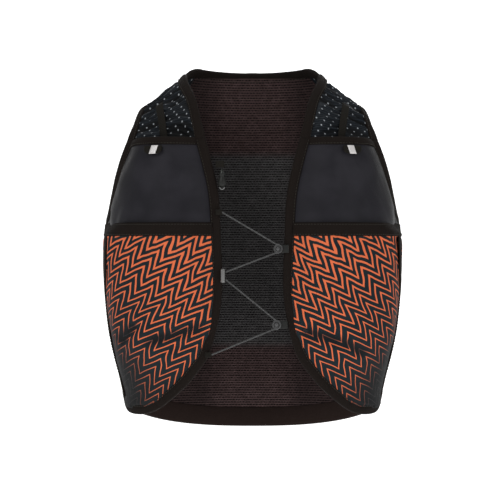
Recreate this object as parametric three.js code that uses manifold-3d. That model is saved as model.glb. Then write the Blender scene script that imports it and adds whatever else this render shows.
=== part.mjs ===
// A running hydration vest: a mesh back, two front panels laced together with elastic cord, and a soft flask
// in each chest pocket. Millimetres, +Z up. The front of the vest faces -Y, and the wearer's left side is +X.
// The origin is midway between the shoulder straps, at the height where they rest on the wearer's shoulders.
import * as THREE from 'three';
import * as BufferGeometryUtils from 'three/addons/utils/BufferGeometryUtils.js';
import Module from 'manifold-3d';

// ---------------------------------------------------------------- driving dimensions

// The body that the vest is cut to fit, at five heights: half width, depth in front and depth behind.
const BODY = [
  { z: -110, halfWidth: 162, front: 103, back: 99 },
  { z: -203, halfWidth: 167, front: 105, back: 97 },
  { z: -286, halfWidth: 157, front: 101, back: 91 },
  { z: -350, halfWidth: 143, front: 94, back: 88 },
  { z: -395, halfWidth: 139, front: 90, back: 88 },
];
const SQUARENESS = 2.4; // exponent of the superellipse that each section follows
const CHEST_TOP = -95; // above this height the chest rounds back towards the shoulder
const BLADE_TOP = -110; // the same on the back, above the shoulder blades
const NECK = { halfWidth: 75, z: 18 }; // where the neckline crosses the top of the shoulder
const SHOULDER_SLOPE = 0.72;
const NAPE_RISE = 57; // how far the back would rise above the neck points at its centre line

const SHOULDER_EDGE = 126; // half width of the vest at the top of the shoulders
const YOKE_BACK_ANGLE = 25; // degrees behind the top of the shoulder where the yoke meets the back
const NAPE_Z = 26; // top of the back at its centre
const MOUTH_Z = -58; // top of the chest pockets, where the front panels hang from the yokes
const LOWER_MOUTH_Z = -152;
const SLEEVE_BOTTOM = -286; // bottom of the flask pocket, inside the stretch pocket
const UNDERARM_Z = -153.5;
const PANEL_CORNER_Z = -344; // where the front edge turns into the bottom edge
const SIDE_HEM_Z = -352;
const BACK_HEM_Z = -393;
const SIDE_SEAM = 44; // from the side line back to the seam of the back panel

const TAPE = { edge: 12.6, armhole: 9, mouth: 9, lowerMouth: 15, hem: 23, rear: 12, low: -0.4, high: 5.2 };
const CLOTH = 1.1;
const MESH = 1.6;
const GAP = 0.6; // between pieces that are sewn edge to edge
const LAYER = 0.9; // between pieces that lie on each other

const POCKET_DEPTH = 20; // how far the chest pocket stands off its sewn edge
const LINING_DIP = 8; // how far the lining gives towards the wearer behind the flask
const LOWER_POCKET_DEPTH = 20;
const REAR_POCKET = { top: -226, depth: 14 };

// A flask stands in its pocket, leaning back with the chest; its section is bent to the chest.
const FLASK = { x: 98, y: -94.2, lean: 0.035, turn: 16, halfWidth: 25, halfThick: 7.1, bend: 3, bottom: -262 };
const FLASK_NECK = { start: -124, z: -108, radius: 7.4 };
const CAP = { radius: 9.2, bottom: -106.9, top: -95 };
const VALVE = { radius: 6, bottom: -94.5, top: -76 };

const LACE = { radius: 1.1, lift: 3.6, wrap: 4.3 };
const HOOKS = [{ x: 26.3, z: -181 }, { x: 24.7, z: -264 }];
const HOOK = { post: 2.8, guardInner: 5.8, guardOuter: 7.4, guardAngle: 62, plate: 1.6, depth: 5.4 };
const ANCHORS = [{ x: -37, z: -141 }, { x: -48.5, z: -297 }];
const ANCHOR = { width: 7, height: 6, depth: 4.6 };
const KEEPER = { x: -32.5, z: -210.5, width: 6.4, height: 16, depth: 5.4 };
const LACE_AT_KEEPER = 4.2; // how far above and below the middle of the keeper the lace enters it
const WHISTLE = { x: -36, tabZ: -88.5, ringZ: -96.5, bodyTop: -100.4, bodyBottom: -113.4 };
const PULLS = { right: { x: 99.2, z: -72.5 }, left: { x: 99.2, z: -72.5 } };
const PULL = { width: 19, height: 9, thick: 1.6, tabWidth: 8 };

// ---------------------------------------------------------------- colours

const cloth = (color, roughness = 0.85) => new THREE.MeshStandardMaterial({ color, roughness, metalness: 0 });
const FINISH = {
  lining: cloth(0x2b2424, 0.95),
  shell: cloth(0x1c1c20, 0.6),
  nylon: cloth(0x201f24, 0.5),
  dotted: cloth(0x1f2125, 0.8),
  chevron: cloth(0x9a4426, 0.8),
  tape: cloth(0x1c1a19, 0.8),
  webbing: cloth(0x1e1c18, 0.75),
  reflective: cloth(0xb4aeac, 0.4),
  cord: cloth(0x4a4a4a, 0.6),
  plastic: new THREE.MeshStandardMaterial({ color: 0x555555, roughness: 0.45, metalness: 0 }),
  whistle: new THREE.MeshStandardMaterial({ color: 0x2c2c2a, roughness: 0.35, metalness: 0 }),
  steel: new THREE.MeshStandardMaterial({ color: 0x9a9a90, roughness: 0.3, metalness: 1 }),
  flask: new THREE.MeshStandardMaterial({ color: 0x9fc4d8, roughness: 0.25, metalness: 0 }),
  cap: new THREE.MeshStandardMaterial({ color: 0x1d1d1f, roughness: 0.4, metalness: 0 }),
  valve: new THREE.MeshStandardMaterial({ color: 0x6f8f9f, roughness: 0.4, metalness: 0 }),
};

// ---------------------------------------------------------------- small helpers

const { clamp, lerp, degToRad, radToDeg } = THREE.MathUtils;
const vec = (x, y, z) => new THREE.Vector3(x, y, z);
const steps = (count) => Array.from({ length: count + 1 }, (_, i) => i / count);

// A smooth curve through the rows of a table, read at height z (heights fall down the table).
function readTable(table, z, key) {
  const last = table.length - 1;
  if (z >= table[0].z) return table[0][key];
  if (z <= table[last].z) return table[last][key];
  const i = table.findIndex((row) => row.z <= z) - 1;
  const slope = (k) =>
    k <= 0 || k >= last ? 0 : (table[k + 1][key] - table[k - 1][key]) / (table[k + 1].z - table[k - 1].z);
  const span = table[i + 1].z - table[i].z;
  const t = (z - table[i].z) / span;
  const [t2, t3] = [t * t, t * t * t];
  return (
    (2 * t3 - 3 * t2 + 1) * table[i][key] + (t3 - 2 * t2 + t) * span * slope(i) +
    (3 * t2 - 2 * t3) * table[i + 1][key] + (t3 - t2) * span * slope(i + 1)
  );
}

// ---------------------------------------------------------------- the body surface

// A quarter of a superellipse as points that run from the centre line to the side, with their distance along it.
const ARC_STEPS = 60;
const arcs = new Map();
function quarterArc(halfWidth, depth) {
  const key = `${halfWidth.toFixed(2)} ${depth.toFixed(2)}`;
  if (!arcs.has(key)) {
    const points = steps(ARC_STEPS).map((t) => {
      const angle = (t * Math.PI) / 2;
      const [s, c] = [Math.sin(angle), Math.cos(angle)];
      const reach = ((s / halfWidth) ** SQUARENESS + (c / depth) ** SQUARENESS) ** (-1 / SQUARENESS);
      return { x: reach * s, y: reach * c, along: 0 };
    });
    for (let i = 1; i <= ARC_STEPS; i++) {
      const [a, b] = [points[i - 1], points[i]];
      b.along = a.along + Math.hypot(b.x - a.x, b.y - a.y);
    }
    arcs.set(key, points);
  }
  return arcs.get(key);
}

function readArc(arc, key, value) {
  const found = arc.findIndex((p) => p[key] >= value);
  const i = found < 0 ? ARC_STEPS : Math.max(1, found);
  const t = (value - arc[i - 1][key]) / (arc[i][key] - arc[i - 1][key]);
  return Object.fromEntries(['x', 'y', 'along'].map((k) => [k, lerp(arc[i - 1][k], arc[i][k], t)]));
}

const sectionAt = (z, side) => quarterArc(readTable(BODY, z, 'halfWidth'), readTable(BODY, z, side));
const sideLine = (z, side) => sectionAt(z, side)[ARC_STEPS].along; // girth from the centre line to the side
const girthAt = (x, z, side) => readArc(sectionAt(z, side), 'x', x).along;

// Height of the top of the shoulder at a distance from the centre line.
const ridgeFront = (x) => NECK.z - SHOULDER_SLOPE * (x - NECK.halfWidth);
const ridgeBack = (x) =>
  x >= NECK.halfWidth ? ridgeFront(x) : NECK.z + NAPE_RISE * (1 - (x / NECK.halfWidth) ** 2);

// The body at girth q from the centre line and height z, in front and behind, on the +X side for q > 0.
function frontPoint(q, z) {
  const { x, y } = readArc(sectionAt(z, 'front'), 'along', Math.abs(q));
  const t = clamp((z - CHEST_TOP) / (ridgeFront(x) - CHEST_TOP), 0, 1);
  return vec(Math.sign(q) * x, -y * Math.sqrt(1 - t * t), z);
}
function backPoint(q, z) {
  const { x, y } = readArc(sectionAt(z, 'back'), 'along', Math.abs(q));
  const t = clamp((z - BLADE_TOP) / (ridgeBack(x) - BLADE_TOP), 0, 1);
  return vec(Math.sign(q) * x, y * Math.sqrt(1 - t * t), z);
}
// The shoulder at half width x and at an angle over its top: positive in front, negative behind.
function shoulderPoint(x, angle) {
  const front = angle >= 0;
  const [low, ridge] = front ? [CHEST_TOP, ridgeFront(x)] : [BLADE_TOP, ridgeBack(Math.abs(x))];
  const { y } = readArc(sectionAt(low, front ? 'front' : 'back'), 'x', Math.abs(x));
  const turn = degToRad(angle);
  return vec(x, -y * Math.sin(turn), low + (ridge - low) * Math.cos(turn));
}
const angleAt = (x, z) => radToDeg(Math.acos(clamp((z - CHEST_TOP) / (ridgeFront(x) - CHEST_TOP), 0, 1)));

// A point lifted off the body by an offset, where surface(a, b) gives the body.
function lifted(surface, a, b, offset, outward) {
  const step = 0.5;
  const across = surface(a + step, b).sub(surface(a - step, b));
  const down = surface(a, b + step).sub(surface(a, b - step));
  const normal = across.cross(down).normalize();
  if (normal.dot(outward(surface(a, b))) < 0) normal.negate();
  return surface(a, b).addScaledVector(normal, offset);
}
const awayFromBody = (p) => vec(p.x, p.y, Math.max(0, p.z - CHEST_TOP));
// On the chest the offset is level, so that each piece keeps the height it is drawn at.
function onFront(q, z, offset) {
  const across = frontPoint(q + 0.5, z).sub(frontPoint(q - 0.5, z));
  const normal = vec(across.y, -across.x, 0).normalize();
  const point = frontPoint(q, z);
  return point.addScaledVector(normal, normal.dot(point) < 0 ? -offset : offset);
}
const onBack = (q, z, offset) => lifted(backPoint, q, z, offset, awayFromBody);
const onShoulder = (x, angle, offset) => lifted(shoulderPoint, x, angle, offset, awayFromBody);

// ---------------------------------------------------------------- solids

function solid(positions, triangles) {
  let volume = 0;
  for (const [i, j, k] of triangles) volume += positions[i].dot(positions[j].clone().cross(positions[k]));
  const index = triangles.flatMap(([i, j, k]) => (volume > 0 ? [i, j, k] : [i, k, j]));
  const geometry = new THREE.BufferGeometry().setFromPoints(positions);
  geometry.setIndex(index);
  return geometry;
}

// A closed sheet: face(u, v, 0) is its inner face and face(u, v, 1) its outer one, over the values in us and vs.
function sheet(us, vs, face) {
  const [columns, rows] = [us.length, vs.length];
  const positions = [0, 1].flatMap((side) => vs.flatMap((v) => us.map((u) => face(u, v, side))));
  const at = (side, i, j) => side * columns * rows + j * columns + i;
  const triangles = [];
  const quad = (a, b, c, d) => triangles.push([a, b, c], [a, c, d]);
  for (let j = 0; j + 1 < rows; j++) {
    for (let i = 0; i + 1 < columns; i++) {
      quad(at(1, i, j), at(1, i + 1, j), at(1, i + 1, j + 1), at(1, i, j + 1));
      quad(at(0, i, j + 1), at(0, i + 1, j + 1), at(0, i + 1, j), at(0, i, j));
    }
  }
  for (let i = 0; i + 1 < columns; i++) {
    quad(at(0, i, 0), at(0, i + 1, 0), at(1, i + 1, 0), at(1, i, 0));
    quad(at(1, i, rows - 1), at(1, i + 1, rows - 1), at(0, i + 1, rows - 1), at(0, i, rows - 1));
  }
  for (let j = 0; j + 1 < rows; j++) {
    quad(at(1, 0, j), at(1, 0, j + 1), at(0, 0, j + 1), at(0, 0, j));
    quad(at(0, columns - 1, j), at(0, columns - 1, j + 1), at(1, columns - 1, j + 1), at(1, columns - 1, j));
  }
  return solid(positions, triangles);
}

// Rings of points joined into one closed solid, with a point in the middle of the first and the last ring.
function loft(rings) {
  const around = rings[0].length;
  const middle = (ring) => ring.reduce((sum, p) => sum.add(p), vec(0, 0, 0)).divideScalar(around);
  const positions = [...rings.flat(), middle(rings[0]), middle(rings.at(-1))];
  const [first, last] = [positions.length - 2, positions.length - 1];
  const triangles = [];
  for (let i = 0; i < around; i++) {
    const next = (i + 1) % around;
    const end = (rings.length - 1) * around;
    triangles.push([first, next, i], [last, end + i, end + next]);
    for (let k = 0; k + 1 < rings.length; k++) {
      const [a, b] = [k * around, (k + 1) * around];
      triangles.push([a + i, a + next, b + next], [a + i, b + next, b + i]);
    }
  }
  return solid(positions, triangles);
}

// Several overlapping closed shapes joined into one.
const wasm = await Module();
wasm.setup();
function join(geometries) {
  const solids = geometries.map((geometry) => {
    const bare = geometry.clone();
    bare.deleteAttribute('normal');
    bare.deleteAttribute('uv');
    const merged = BufferGeometryUtils.mergeVertices(bare, 1e-4);
    const vertProperties = new Float32Array(merged.attributes.position.array);
    const triVerts = new Uint32Array(merged.index.array);
    return new wasm.Manifold(new wasm.Mesh({ numProp: 3, vertProperties, triVerts }));
  });
  const { vertProperties, triVerts } = solids.reduce((a, b) => a.add(b)).getMesh();
  const geometry = new THREE.BufferGeometry();
  geometry.setAttribute('position', new THREE.BufferAttribute(vertProperties, 3));
  geometry.setIndex(new THREE.BufferAttribute(triVerts, 1));
  return geometry;
}

function add(group, name, geometry, material) {
  const mesh = new THREE.Mesh(geometry, material);
  mesh.name = name;
  group.add(mesh);
}

// ---------------------------------------------------------------- outlines

const outline = (points) => new THREE.SplineCurve(points.map(([a, b]) => new THREE.Vector2(a, b)));

// Outlines are in girth and height, with the cloth to the right of the direction of travel when turn is 1.
const frontEdgePoints = (points) => points.map(([x, z]) => [girthAt(x, z, 'front'), z]);
const frontSide = (z) => sideLine(z, 'front') - 1;
const backSide = (z) => sideLine(z, 'back') - 1;
const sideSeam = (z) => backSide(z) - SIDE_SEAM;

// Down the front opening from above the pocket mouth, round the bottom and out to the side.
const FRONT_EDGE = outline([
  ...frontEdgePoints([
    [57.5, -40], [51.8, MOUTH_Z], [38, -116], [34.5, -171], [33.6, -235], [45.5, -292], [60, -317], [78, -338], [102, -358.5],
    [119, -366],
  ]),
  [girthAt(134, -366, 'front') + 2, -366.5],
  [frontSide(-360) - 18, -361],
  [frontSide(SIDE_HEM_Z), SIDE_HEM_Z],
]);
// Down the front of the armhole from above the pocket mouth, and back along the underarm to the side.
const FRONT_ARMHOLE = outline([
  ...frontEdgePoints([[130.5, -36], [138, MOUTH_Z], [145.5, -78], [151.5, -98], [158, -126], [161.5, -141]]),
  [girthAt(164, -150, 'front') + 4, -151],
  [frontSide(UNDERARM_Z), UNDERARM_Z],
]);
const yokeSeamZ = (x) => BLADE_TOP + (ridgeBack(x) - BLADE_TOP) * Math.cos(degToRad(YOKE_BACK_ANGLE));
// From the yoke seam down the back of the armhole and along the underarm to the side.
const BACK_ARMHOLE = outline([
  ...[[127, yokeSeamZ(127)], [130, -60], [134, -100], [143, -128]].map(([x, z]) => [girthAt(x, z, 'back'), z]),
  [sideSeam(-148) - 3, -148],
  [sideSeam(UNDERARM_Z) + 18, UNDERARM_Z],
  [backSide(UNDERARM_Z), UNDERARM_Z],
]);
// Over the shoulder from behind to the pocket mouth, in half width and angle.
const mouthAngle = (x) => angleAt(x, MOUTH_Z + GAP);
const NECKLINE = outline([[57, -YOKE_BACK_ANGLE], [68, -12], [75, 0], [72, 28], [60, 55], [51.5, 80]]);
const SHOULDER_LINE = outline([[127, -YOKE_BACK_ANGLE], [SHOULDER_EDGE, 0], [131, 25], [138, 80]]);

// The point of an outline at t, moved square to it into the cloth.
function insetPoint(curve, t, inset, turn) {
  const [point, tangent] = [curve.getPoint(t), curve.getTangent(t)];
  return [point.x - turn * tangent.y * inset, point.y + turn * tangent.x * inset];
}
// The same, with t running from the pocket mouth instead of from the outline's start.
function insetBelowMouth(curve, t, inset, turn) {
  let [above, below] = [0, 0.5];
  for (let i = 0; i < 20; i++) {
    const middle = (above + below) / 2;
    if (insetPoint(curve, middle, inset, turn)[1] > MOUTH_Z) above = middle;
    else below = middle;
  }
  return insetPoint(curve, lerp(above, 1, t), inset, turn);
}
// Girth of an inset outline at a height, for an outline that goes down.
const insetTables = new Map();
function insetGirth(curve, z, inset, turn) {
  const key = `${curve.points[0].x} ${inset} ${turn}`;
  if (!insetTables.has(key)) insetTables.set(key, steps(160).map((t) => insetPoint(curve, t, inset, turn)));
  const table = insetTables.get(key);
  const found = table.findIndex((p) => p[1] <= z);
  if (found < 0) return Infinity;
  const i = Math.max(1, found);
  return lerp(table[i - 1][0], table[i][0], clamp((z - table[i - 1][1]) / (table[i][1] - table[i - 1][1]), 0, 1));
}
const innerGirth = (z, inset = TAPE.edge + GAP) => insetGirth(FRONT_EDGE, z, inset, 1);
const outerGirth = (z, inset = TAPE.armhole + 1.4) =>
  Math.min(insetGirth(FRONT_ARMHOLE, z, inset, -1), frontSide(z));

// Height of the inset bottom edge of a front panel at girth q.
function bottomHeight(q, inset) {
  const points = steps(240).map((t) => insetPoint(FRONT_EDGE, t, inset, 1));
  const found = points.findIndex(([girth, z]) => z < PANEL_CORNER_Z + 20 && girth >= q);
  const i = found < 0 ? points.length - 1 : Math.max(1, found);
  return lerp(points[i - 1][1], points[i][1], clamp((q - points[i - 1][0]) / (points[i][0] - points[i - 1][0]), 0, 1));
}
const hemHeight = (q) => lerp(BACK_HEM_Z, SIDE_HEM_Z, (Math.abs(q) / backSide(SIDE_HEM_Z)) ** 2.6);

// ---------------------------------------------------------------- how far the pockets stand out

const swell = (t, sharpness) => Math.max(0, Math.sin(Math.PI * clamp(t, 0, 1))) ** sharpness;
const ease = (t) => clamp(t, 0, 1) ** 2 * (3 - 2 * clamp(t, 0, 1));

// 1 in the middle of the flask pocket and 0 at its sewn edges, at girth q and height z.
function flaskSwell(q, z) {
  const [inner, outer] = [innerGirth(Math.max(z, -235)), outerGirth(Math.max(z, -135))];
  const centre = girthAt(FLASK.x, -150, 'front');
  const across = q < centre ? (q - inner) / (2 * (centre - inner)) : 0.5 + (q - centre) / (2 * (outer - centre));
  return swell(across, 0.85) * ease((z - SLEEVE_BOTTOM) / 38);
}
const lowerSwell = (u, z) => swell(u ** 0.85, 1.4) * ease((z + 352) / 90);

const liningOffset = (q, z, face) => face * MESH - LINING_DIP * flaskSwell(q, z);
const chestOffset = (q, z, face) => MESH + LAYER + face * CLOTH + POCKET_DEPTH * flaskSwell(q, z);
function lowerOffset(u, q, z, face) {
  const clearance = Math.min(2, 12 * u, 12 * (1 - u));
  const stand = Math.max(LOWER_POCKET_DEPTH * lowerSwell(u, z), POCKET_DEPTH * flaskSwell(q, z));
  return MESH + 2 * LAYER + CLOTH + face * CLOTH + clearance + stand;
}

// ---------------------------------------------------------------- the shoulders

const COLUMNS = [0, 0.07, 0.18, 0.32, 0.46, 0.6, 0.73, 0.84, 0.93, 1];
// Heights of the rows of a front panel at its outer side; they crowd round the underarm corner.
const ROWS = [-82, -106, -128, -144, -151, -156.5, -164, -195, -225, -255, -280, -305, -325];
const rowsBetween = (top, bottom) =>
  [top, ...ROWS.filter((z) => z < top - 4 && z > bottom + 6), bottom].map((z) => (top - z) / (top - bottom));

function shoulderYoke(group, side) {
  const geometry = sheet(steps(7), steps(11), (u, v, face) => {
    const [a, b] = [NECKLINE.getPoint(v), SHOULDER_LINE.getPoint(v)];
    const x = lerp(a.x + TAPE.edge + 2 * GAP, b.x - TAPE.armhole - 2 * GAP, u);
    return onShoulder(x, Math.min(lerp(a.y, b.y, u), mouthAngle(x)), face * MESH);
  });
  add(group, `shoulder_yoke_${side}`, geometry, FINISH.dotted);

  // A short webbing strap from the middle of the yoke down to the pocket mouth.
  const strap = sheet(steps(2), steps(6), (u, v, face) => {
    const x = lerp(102, 96, v) + lerp(-4, 4, u);
    const angle = lerp(angleAt(x, -24), mouthAngle(x) - 1, v);
    return onShoulder(x, angle, MESH + 0.5 + face * 1.3);
  });
  add(group, `shoulder_strap_${side}`, strap, FINISH.webbing);
}

function armholeBinding(group, side) {
  const shoulderPart = 0.4;
  const geometry = sheet([0, 1], steps(24), (u, v, face) => {
    const offset = lerp(TAPE.low, 4, face);
    if (v <= shoulderPart) {
      const point = SHOULDER_LINE.getPoint(1 - v / shoulderPart);
      const x = point.x - u * TAPE.armhole;
      return onShoulder(x, Math.min(point.y, mouthAngle(x)), offset);
    }
    const t = (v - shoulderPart) / (1 - shoulderPart);
    return onBack(...insetPoint(BACK_ARMHOLE, t, u * TAPE.armhole, -1), offset);
  });
  add(group, `armhole_binding_${side}`, geometry, FINISH.tape);
}

function neckBinding(group) {
  const backPart = 0.4;
  const rows = steps(32).map((t) => 2 * t - 1);
  const geometry = sheet([0, 1], rows, (u, v, face) => {
    const side = v < 0 ? -1 : 1;
    const offset = lerp(TAPE.low, 4.4, face);
    if (Math.abs(v) > backPart) {
      const point = NECKLINE.getPoint((Math.abs(v) - backPart) / (1 - backPart));
      const x = point.x + u * TAPE.edge;
      const p = onShoulder(x, Math.min(point.y, mouthAngle(x)), offset);
      return vec(side * p.x, p.y, p.z);
    }
    const t = Math.abs(v) / backPart;
    const x = lerp(57, 57 + TAPE.edge, u) * t;
    const z = lerp(lerp(NAPE_Z, yokeSeamZ(57), t * t), lerp(NAPE_Z - TAPE.edge, yokeSeamZ(57 + TAPE.edge), t * t), u);
    return onBack(side * girthAt(x, z, 'back'), z, offset);
  });
  add(group, 'neck_binding', geometry, FINISH.tape);
}

// ---------------------------------------------------------------- the back

const HALF_BACK = [0, 0.13, 0.26, 0.38, 0.5, 0.6, 0.72, 0.84, 0.93, 1];
const BACK_COLUMNS = [...HALF_BACK.map((u) => -u).reverse(), ...HALF_BACK.slice(1)];
const BACK_ROWS = [-24, -31, -42, -53, -64, -86, -108, -126, -138, -146, -152, -158, -165, -200, -240, -285, -348];
const backRows = BACK_ROWS.map((z) => (BACK_ROWS[0] - z) / (BACK_ROWS[0] - BACK_ROWS.at(-1)));

// The back panel in girth and height: u runs from the centre line to its side edge, v from the top down.
function backPatch(u, v, top = null) {
  const [half, side] = [Math.abs(u), Math.sign(u)];
  const [neck, shoulder] = [57 + TAPE.edge + GAP, 127 - TAPE.armhole - 2 * GAP];
  const topX = (t) => (t < 0.5 ? neck * t * 2 : lerp(neck, shoulder, t * 2 - 1));
  const topZ = (t) => top ?? (t < 0.5 ? NAPE_Z - TAPE.edge : yokeSeamZ(topX(t))) - 3 * GAP;
  const bottomZ = (t) => hemHeight(t * sideSeam(SIDE_HEM_Z)) + TAPE.hem + 2 * GAP;
  const sideZ = lerp(topZ(1), bottomZ(1), v);
  const edge = Math.min(insetGirth(BACK_ARMHOLE, sideZ, TAPE.armhole + 2 * GAP, -1), sideSeam(sideZ) - GAP);
  if (top !== null) return [u * edge, lerp(top, bottomZ(half), v)];
  const topQ = (t) => girthAt(topX(t), topZ(t), 'back');
  const q = lerp(topQ(half) + (edge - topQ(1)) * half ** 3, half * edge, ease(v * 3.2));
  return [side * q, lerp(topZ(half), bottomZ(half), v)];
}

function backPieces(group) {
  const panel = (inner, outer) =>
    sheet(BACK_COLUMNS, backRows, (u, v, face) => onBack(...backPatch(u, v), lerp(inner, outer, face)));
  add(group, 'back_lining', panel(0, MESH), FINISH.lining);
  add(group, 'back_shell', panel(MESH + 2 * LAYER, MESH + 2 * LAYER + CLOTH), FINISH.shell);

  // The stretch pocket across the lower back and the elastic round its mouth.
  const rearOffset = (u, v, face) =>
    MESH + 3 * LAYER + CLOTH + face * CLOTH + REAR_POCKET.depth * swell((u + 1) / 2, 0.5) * ease((1 - v) * 3);
  const rearTop = REAR_POCKET.top - TAPE.rear - GAP;
  const rear = sheet(BACK_COLUMNS, steps(9), (u, v, face) =>
    onBack(...backPatch(u, v, rearTop), rearOffset(u, v, face)));
  add(group, 'rear_pocket', rear, FINISH.chevron);
  const mouth = sheet(BACK_COLUMNS, [0, 1], (u, v, face) => {
    const z = REAR_POCKET.top - v * TAPE.rear;
    const [q] = backPatch(u, 0, z);
    return onBack(q, z, rearOffset(u, 0, 0.5) + lerp(-1.1, 1.1, face));
  });
  add(group, 'rear_pocket_binding', mouth, FINISH.tape);

  const hem = sheet(steps(26).map((t) => 2 * t - 1), steps(2), (u, v, face) => {
    const q = u * backSide(SIDE_HEM_Z);
    return onBack(q, hemHeight(q) + TAPE.hem * (1 - v), lerp(TAPE.low, TAPE.high + 1, face));
  });
  add(group, 'hem_binding', hem, FINISH.tape);

  // A webbing loop at the nape to hang the vest up by.
  const loop = sheet(steps(8), [0, 1], (u, v, face) => {
    const x = lerp(-24, 24, u);
    return onBack(girthAt(Math.abs(x), 20, 'back') * Math.sign(x), 22 - v * 8, 5 + 9 * swell(u, 0.8) + face * 1.4);
  });
  add(group, 'hang_loop', loop, FINISH.webbing);
}

function sidePanel(group, side) {
  const geometry = sheet(steps(5), steps(9), (u, v, face) => {
    const z = lerp(UNDERARM_Z - TAPE.armhole - GAP, hemHeight(sideSeam(-350) + u * SIDE_SEAM) + TAPE.hem + 3, v);
    return onBack(lerp(sideSeam(z) + GAP, backSide(z), u), z, face * (MESH + 0.6));
  });
  add(group, `side_panel_${side}`, geometry, FINISH.shell);
}

// ---------------------------------------------------------------- the front panels

// A front panel in girth and height, from a top height down to its inset bottom edge.
function panelPatch(u, v, top) {
  const inset = TAPE.edge + GAP + 0.3;
  const cornerZ = PANEL_CORNER_Z + inset - 6;
  const sideZ = SIDE_HEM_Z + inset;
  const [zi, zo] = [lerp(top, cornerZ, v), lerp(top, sideZ, v)];
  const q = lerp(innerGirth(zi), outerGirth(zo), u);
  const bottom = lerp(innerGirth(cornerZ), frontSide(sideZ), u);
  const sag = bottomHeight(bottom, inset) - lerp(cornerZ, sideZ, u);
  return [q, lerp(zi, zo, u) + sag * v ** 3];
}

function frontPanel(group, side) {
  const foot = SIDE_HEM_Z + TAPE.edge + GAP;
  const lining = sheet(COLUMNS, rowsBetween(MOUTH_Z, foot), (u, v, face) => {
    const [q, z] = panelPatch(u, v, MOUTH_Z);
    return onFront(q, z, liningOffset(q, z, face));
  });
  add(group, `panel_lining_${side}`, lining, FINISH.lining);

  const chestTop = MOUTH_Z - TAPE.mouth - GAP;
  const chest = sheet(COLUMNS, rowsBetween(chestTop, SLEEVE_BOTTOM), (u, v, face) => {
    const z = lerp(chestTop, SLEEVE_BOTTOM, v);
    const q = lerp(innerGirth(z), outerGirth(z), u);
    return onFront(q, z, chestOffset(q, z, face));
  });
  add(group, `chest_pocket_${side}`, chest, FINISH.nylon);
  const chestMouth = sheet(COLUMNS, [0, 1], (u, v, face) => {
    const z = MOUTH_Z - v * TAPE.mouth;
    const q = lerp(innerGirth(z), outerGirth(z), u);
    return onFront(q, z, chestOffset(q, z, 0.5) + lerp(-1.1, 1.1, face));
  });
  add(group, `chest_pocket_binding_${side}`, chestMouth, FINISH.tape);

  const lowerTop = LOWER_MOUTH_Z - TAPE.lowerMouth - GAP;
  const lower = sheet(COLUMNS, rowsBetween(lowerTop, foot), (u, v, face) => {
    const [q, z] = panelPatch(u, v, lowerTop);
    return onFront(q, z, lowerOffset(u, q, z, face));
  });
  add(group, `lower_pocket_${side}`, lower, FINISH.chevron);
  const lowerMouth = sheet(COLUMNS, [0, 1], (u, v, face) => {
    const z = LOWER_MOUTH_Z - v * TAPE.lowerMouth;
    const q = lerp(innerGirth(z), frontSide(z), u);
    return onFront(q, z, lowerOffset(u, q, z, 0.5) + lerp(-1.1, 1.1, face));
  });
  add(group, `lower_pocket_binding_${side}`, lowerMouth, FINISH.tape);

  const edge = sheet([0, 1], steps(30), (u, v, face) =>
    onFront(...insetBelowMouth(FRONT_EDGE, v, u * TAPE.edge, 1), lerp(TAPE.low, TAPE.high, face)));
  add(group, `front_edge_binding_${side}`, edge, FINISH.tape);
  const armhole = sheet([0, 1], steps(16), (u, v, face) =>
    onFront(...insetBelowMouth(FRONT_ARMHOLE, v, u * TAPE.armhole, -1), lerp(TAPE.low, 3.3, face)));
  add(group, `front_armhole_binding_${side}`, armhole, FINISH.tape);

  // A flat webbing pull hanging from the pocket mouth, with a reflective tab on it.
  const { x, z } = PULLS[side];
  const q = girthAt(x, z, 'front');
  const onPocket = (a, b, lift = 0) => onFront(a, b, chestOffset(a, b, 0.5) + 2 + lift);
  const flat = (width, height, low, high, shift) =>
    sheet(steps(2), steps(2), (u, v, face) =>
      onPocket(q + shift + width * (u - 0.5), z + height * (0.5 - v), lerp(low, high, face)));
  add(group, `pull_loop_${side}`, flat(PULL.width, PULL.height, 0, PULL.thick, 0), FINISH.webbing);
  const tabLow = PULL.thick + 0.4;
  add(group, `pull_tab_${side}`, flat(PULL.tabWidth, PULL.height, tabLow, tabLow + 1, -3), FINISH.reflective);
}

// ---------------------------------------------------------------- the flasks

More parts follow.
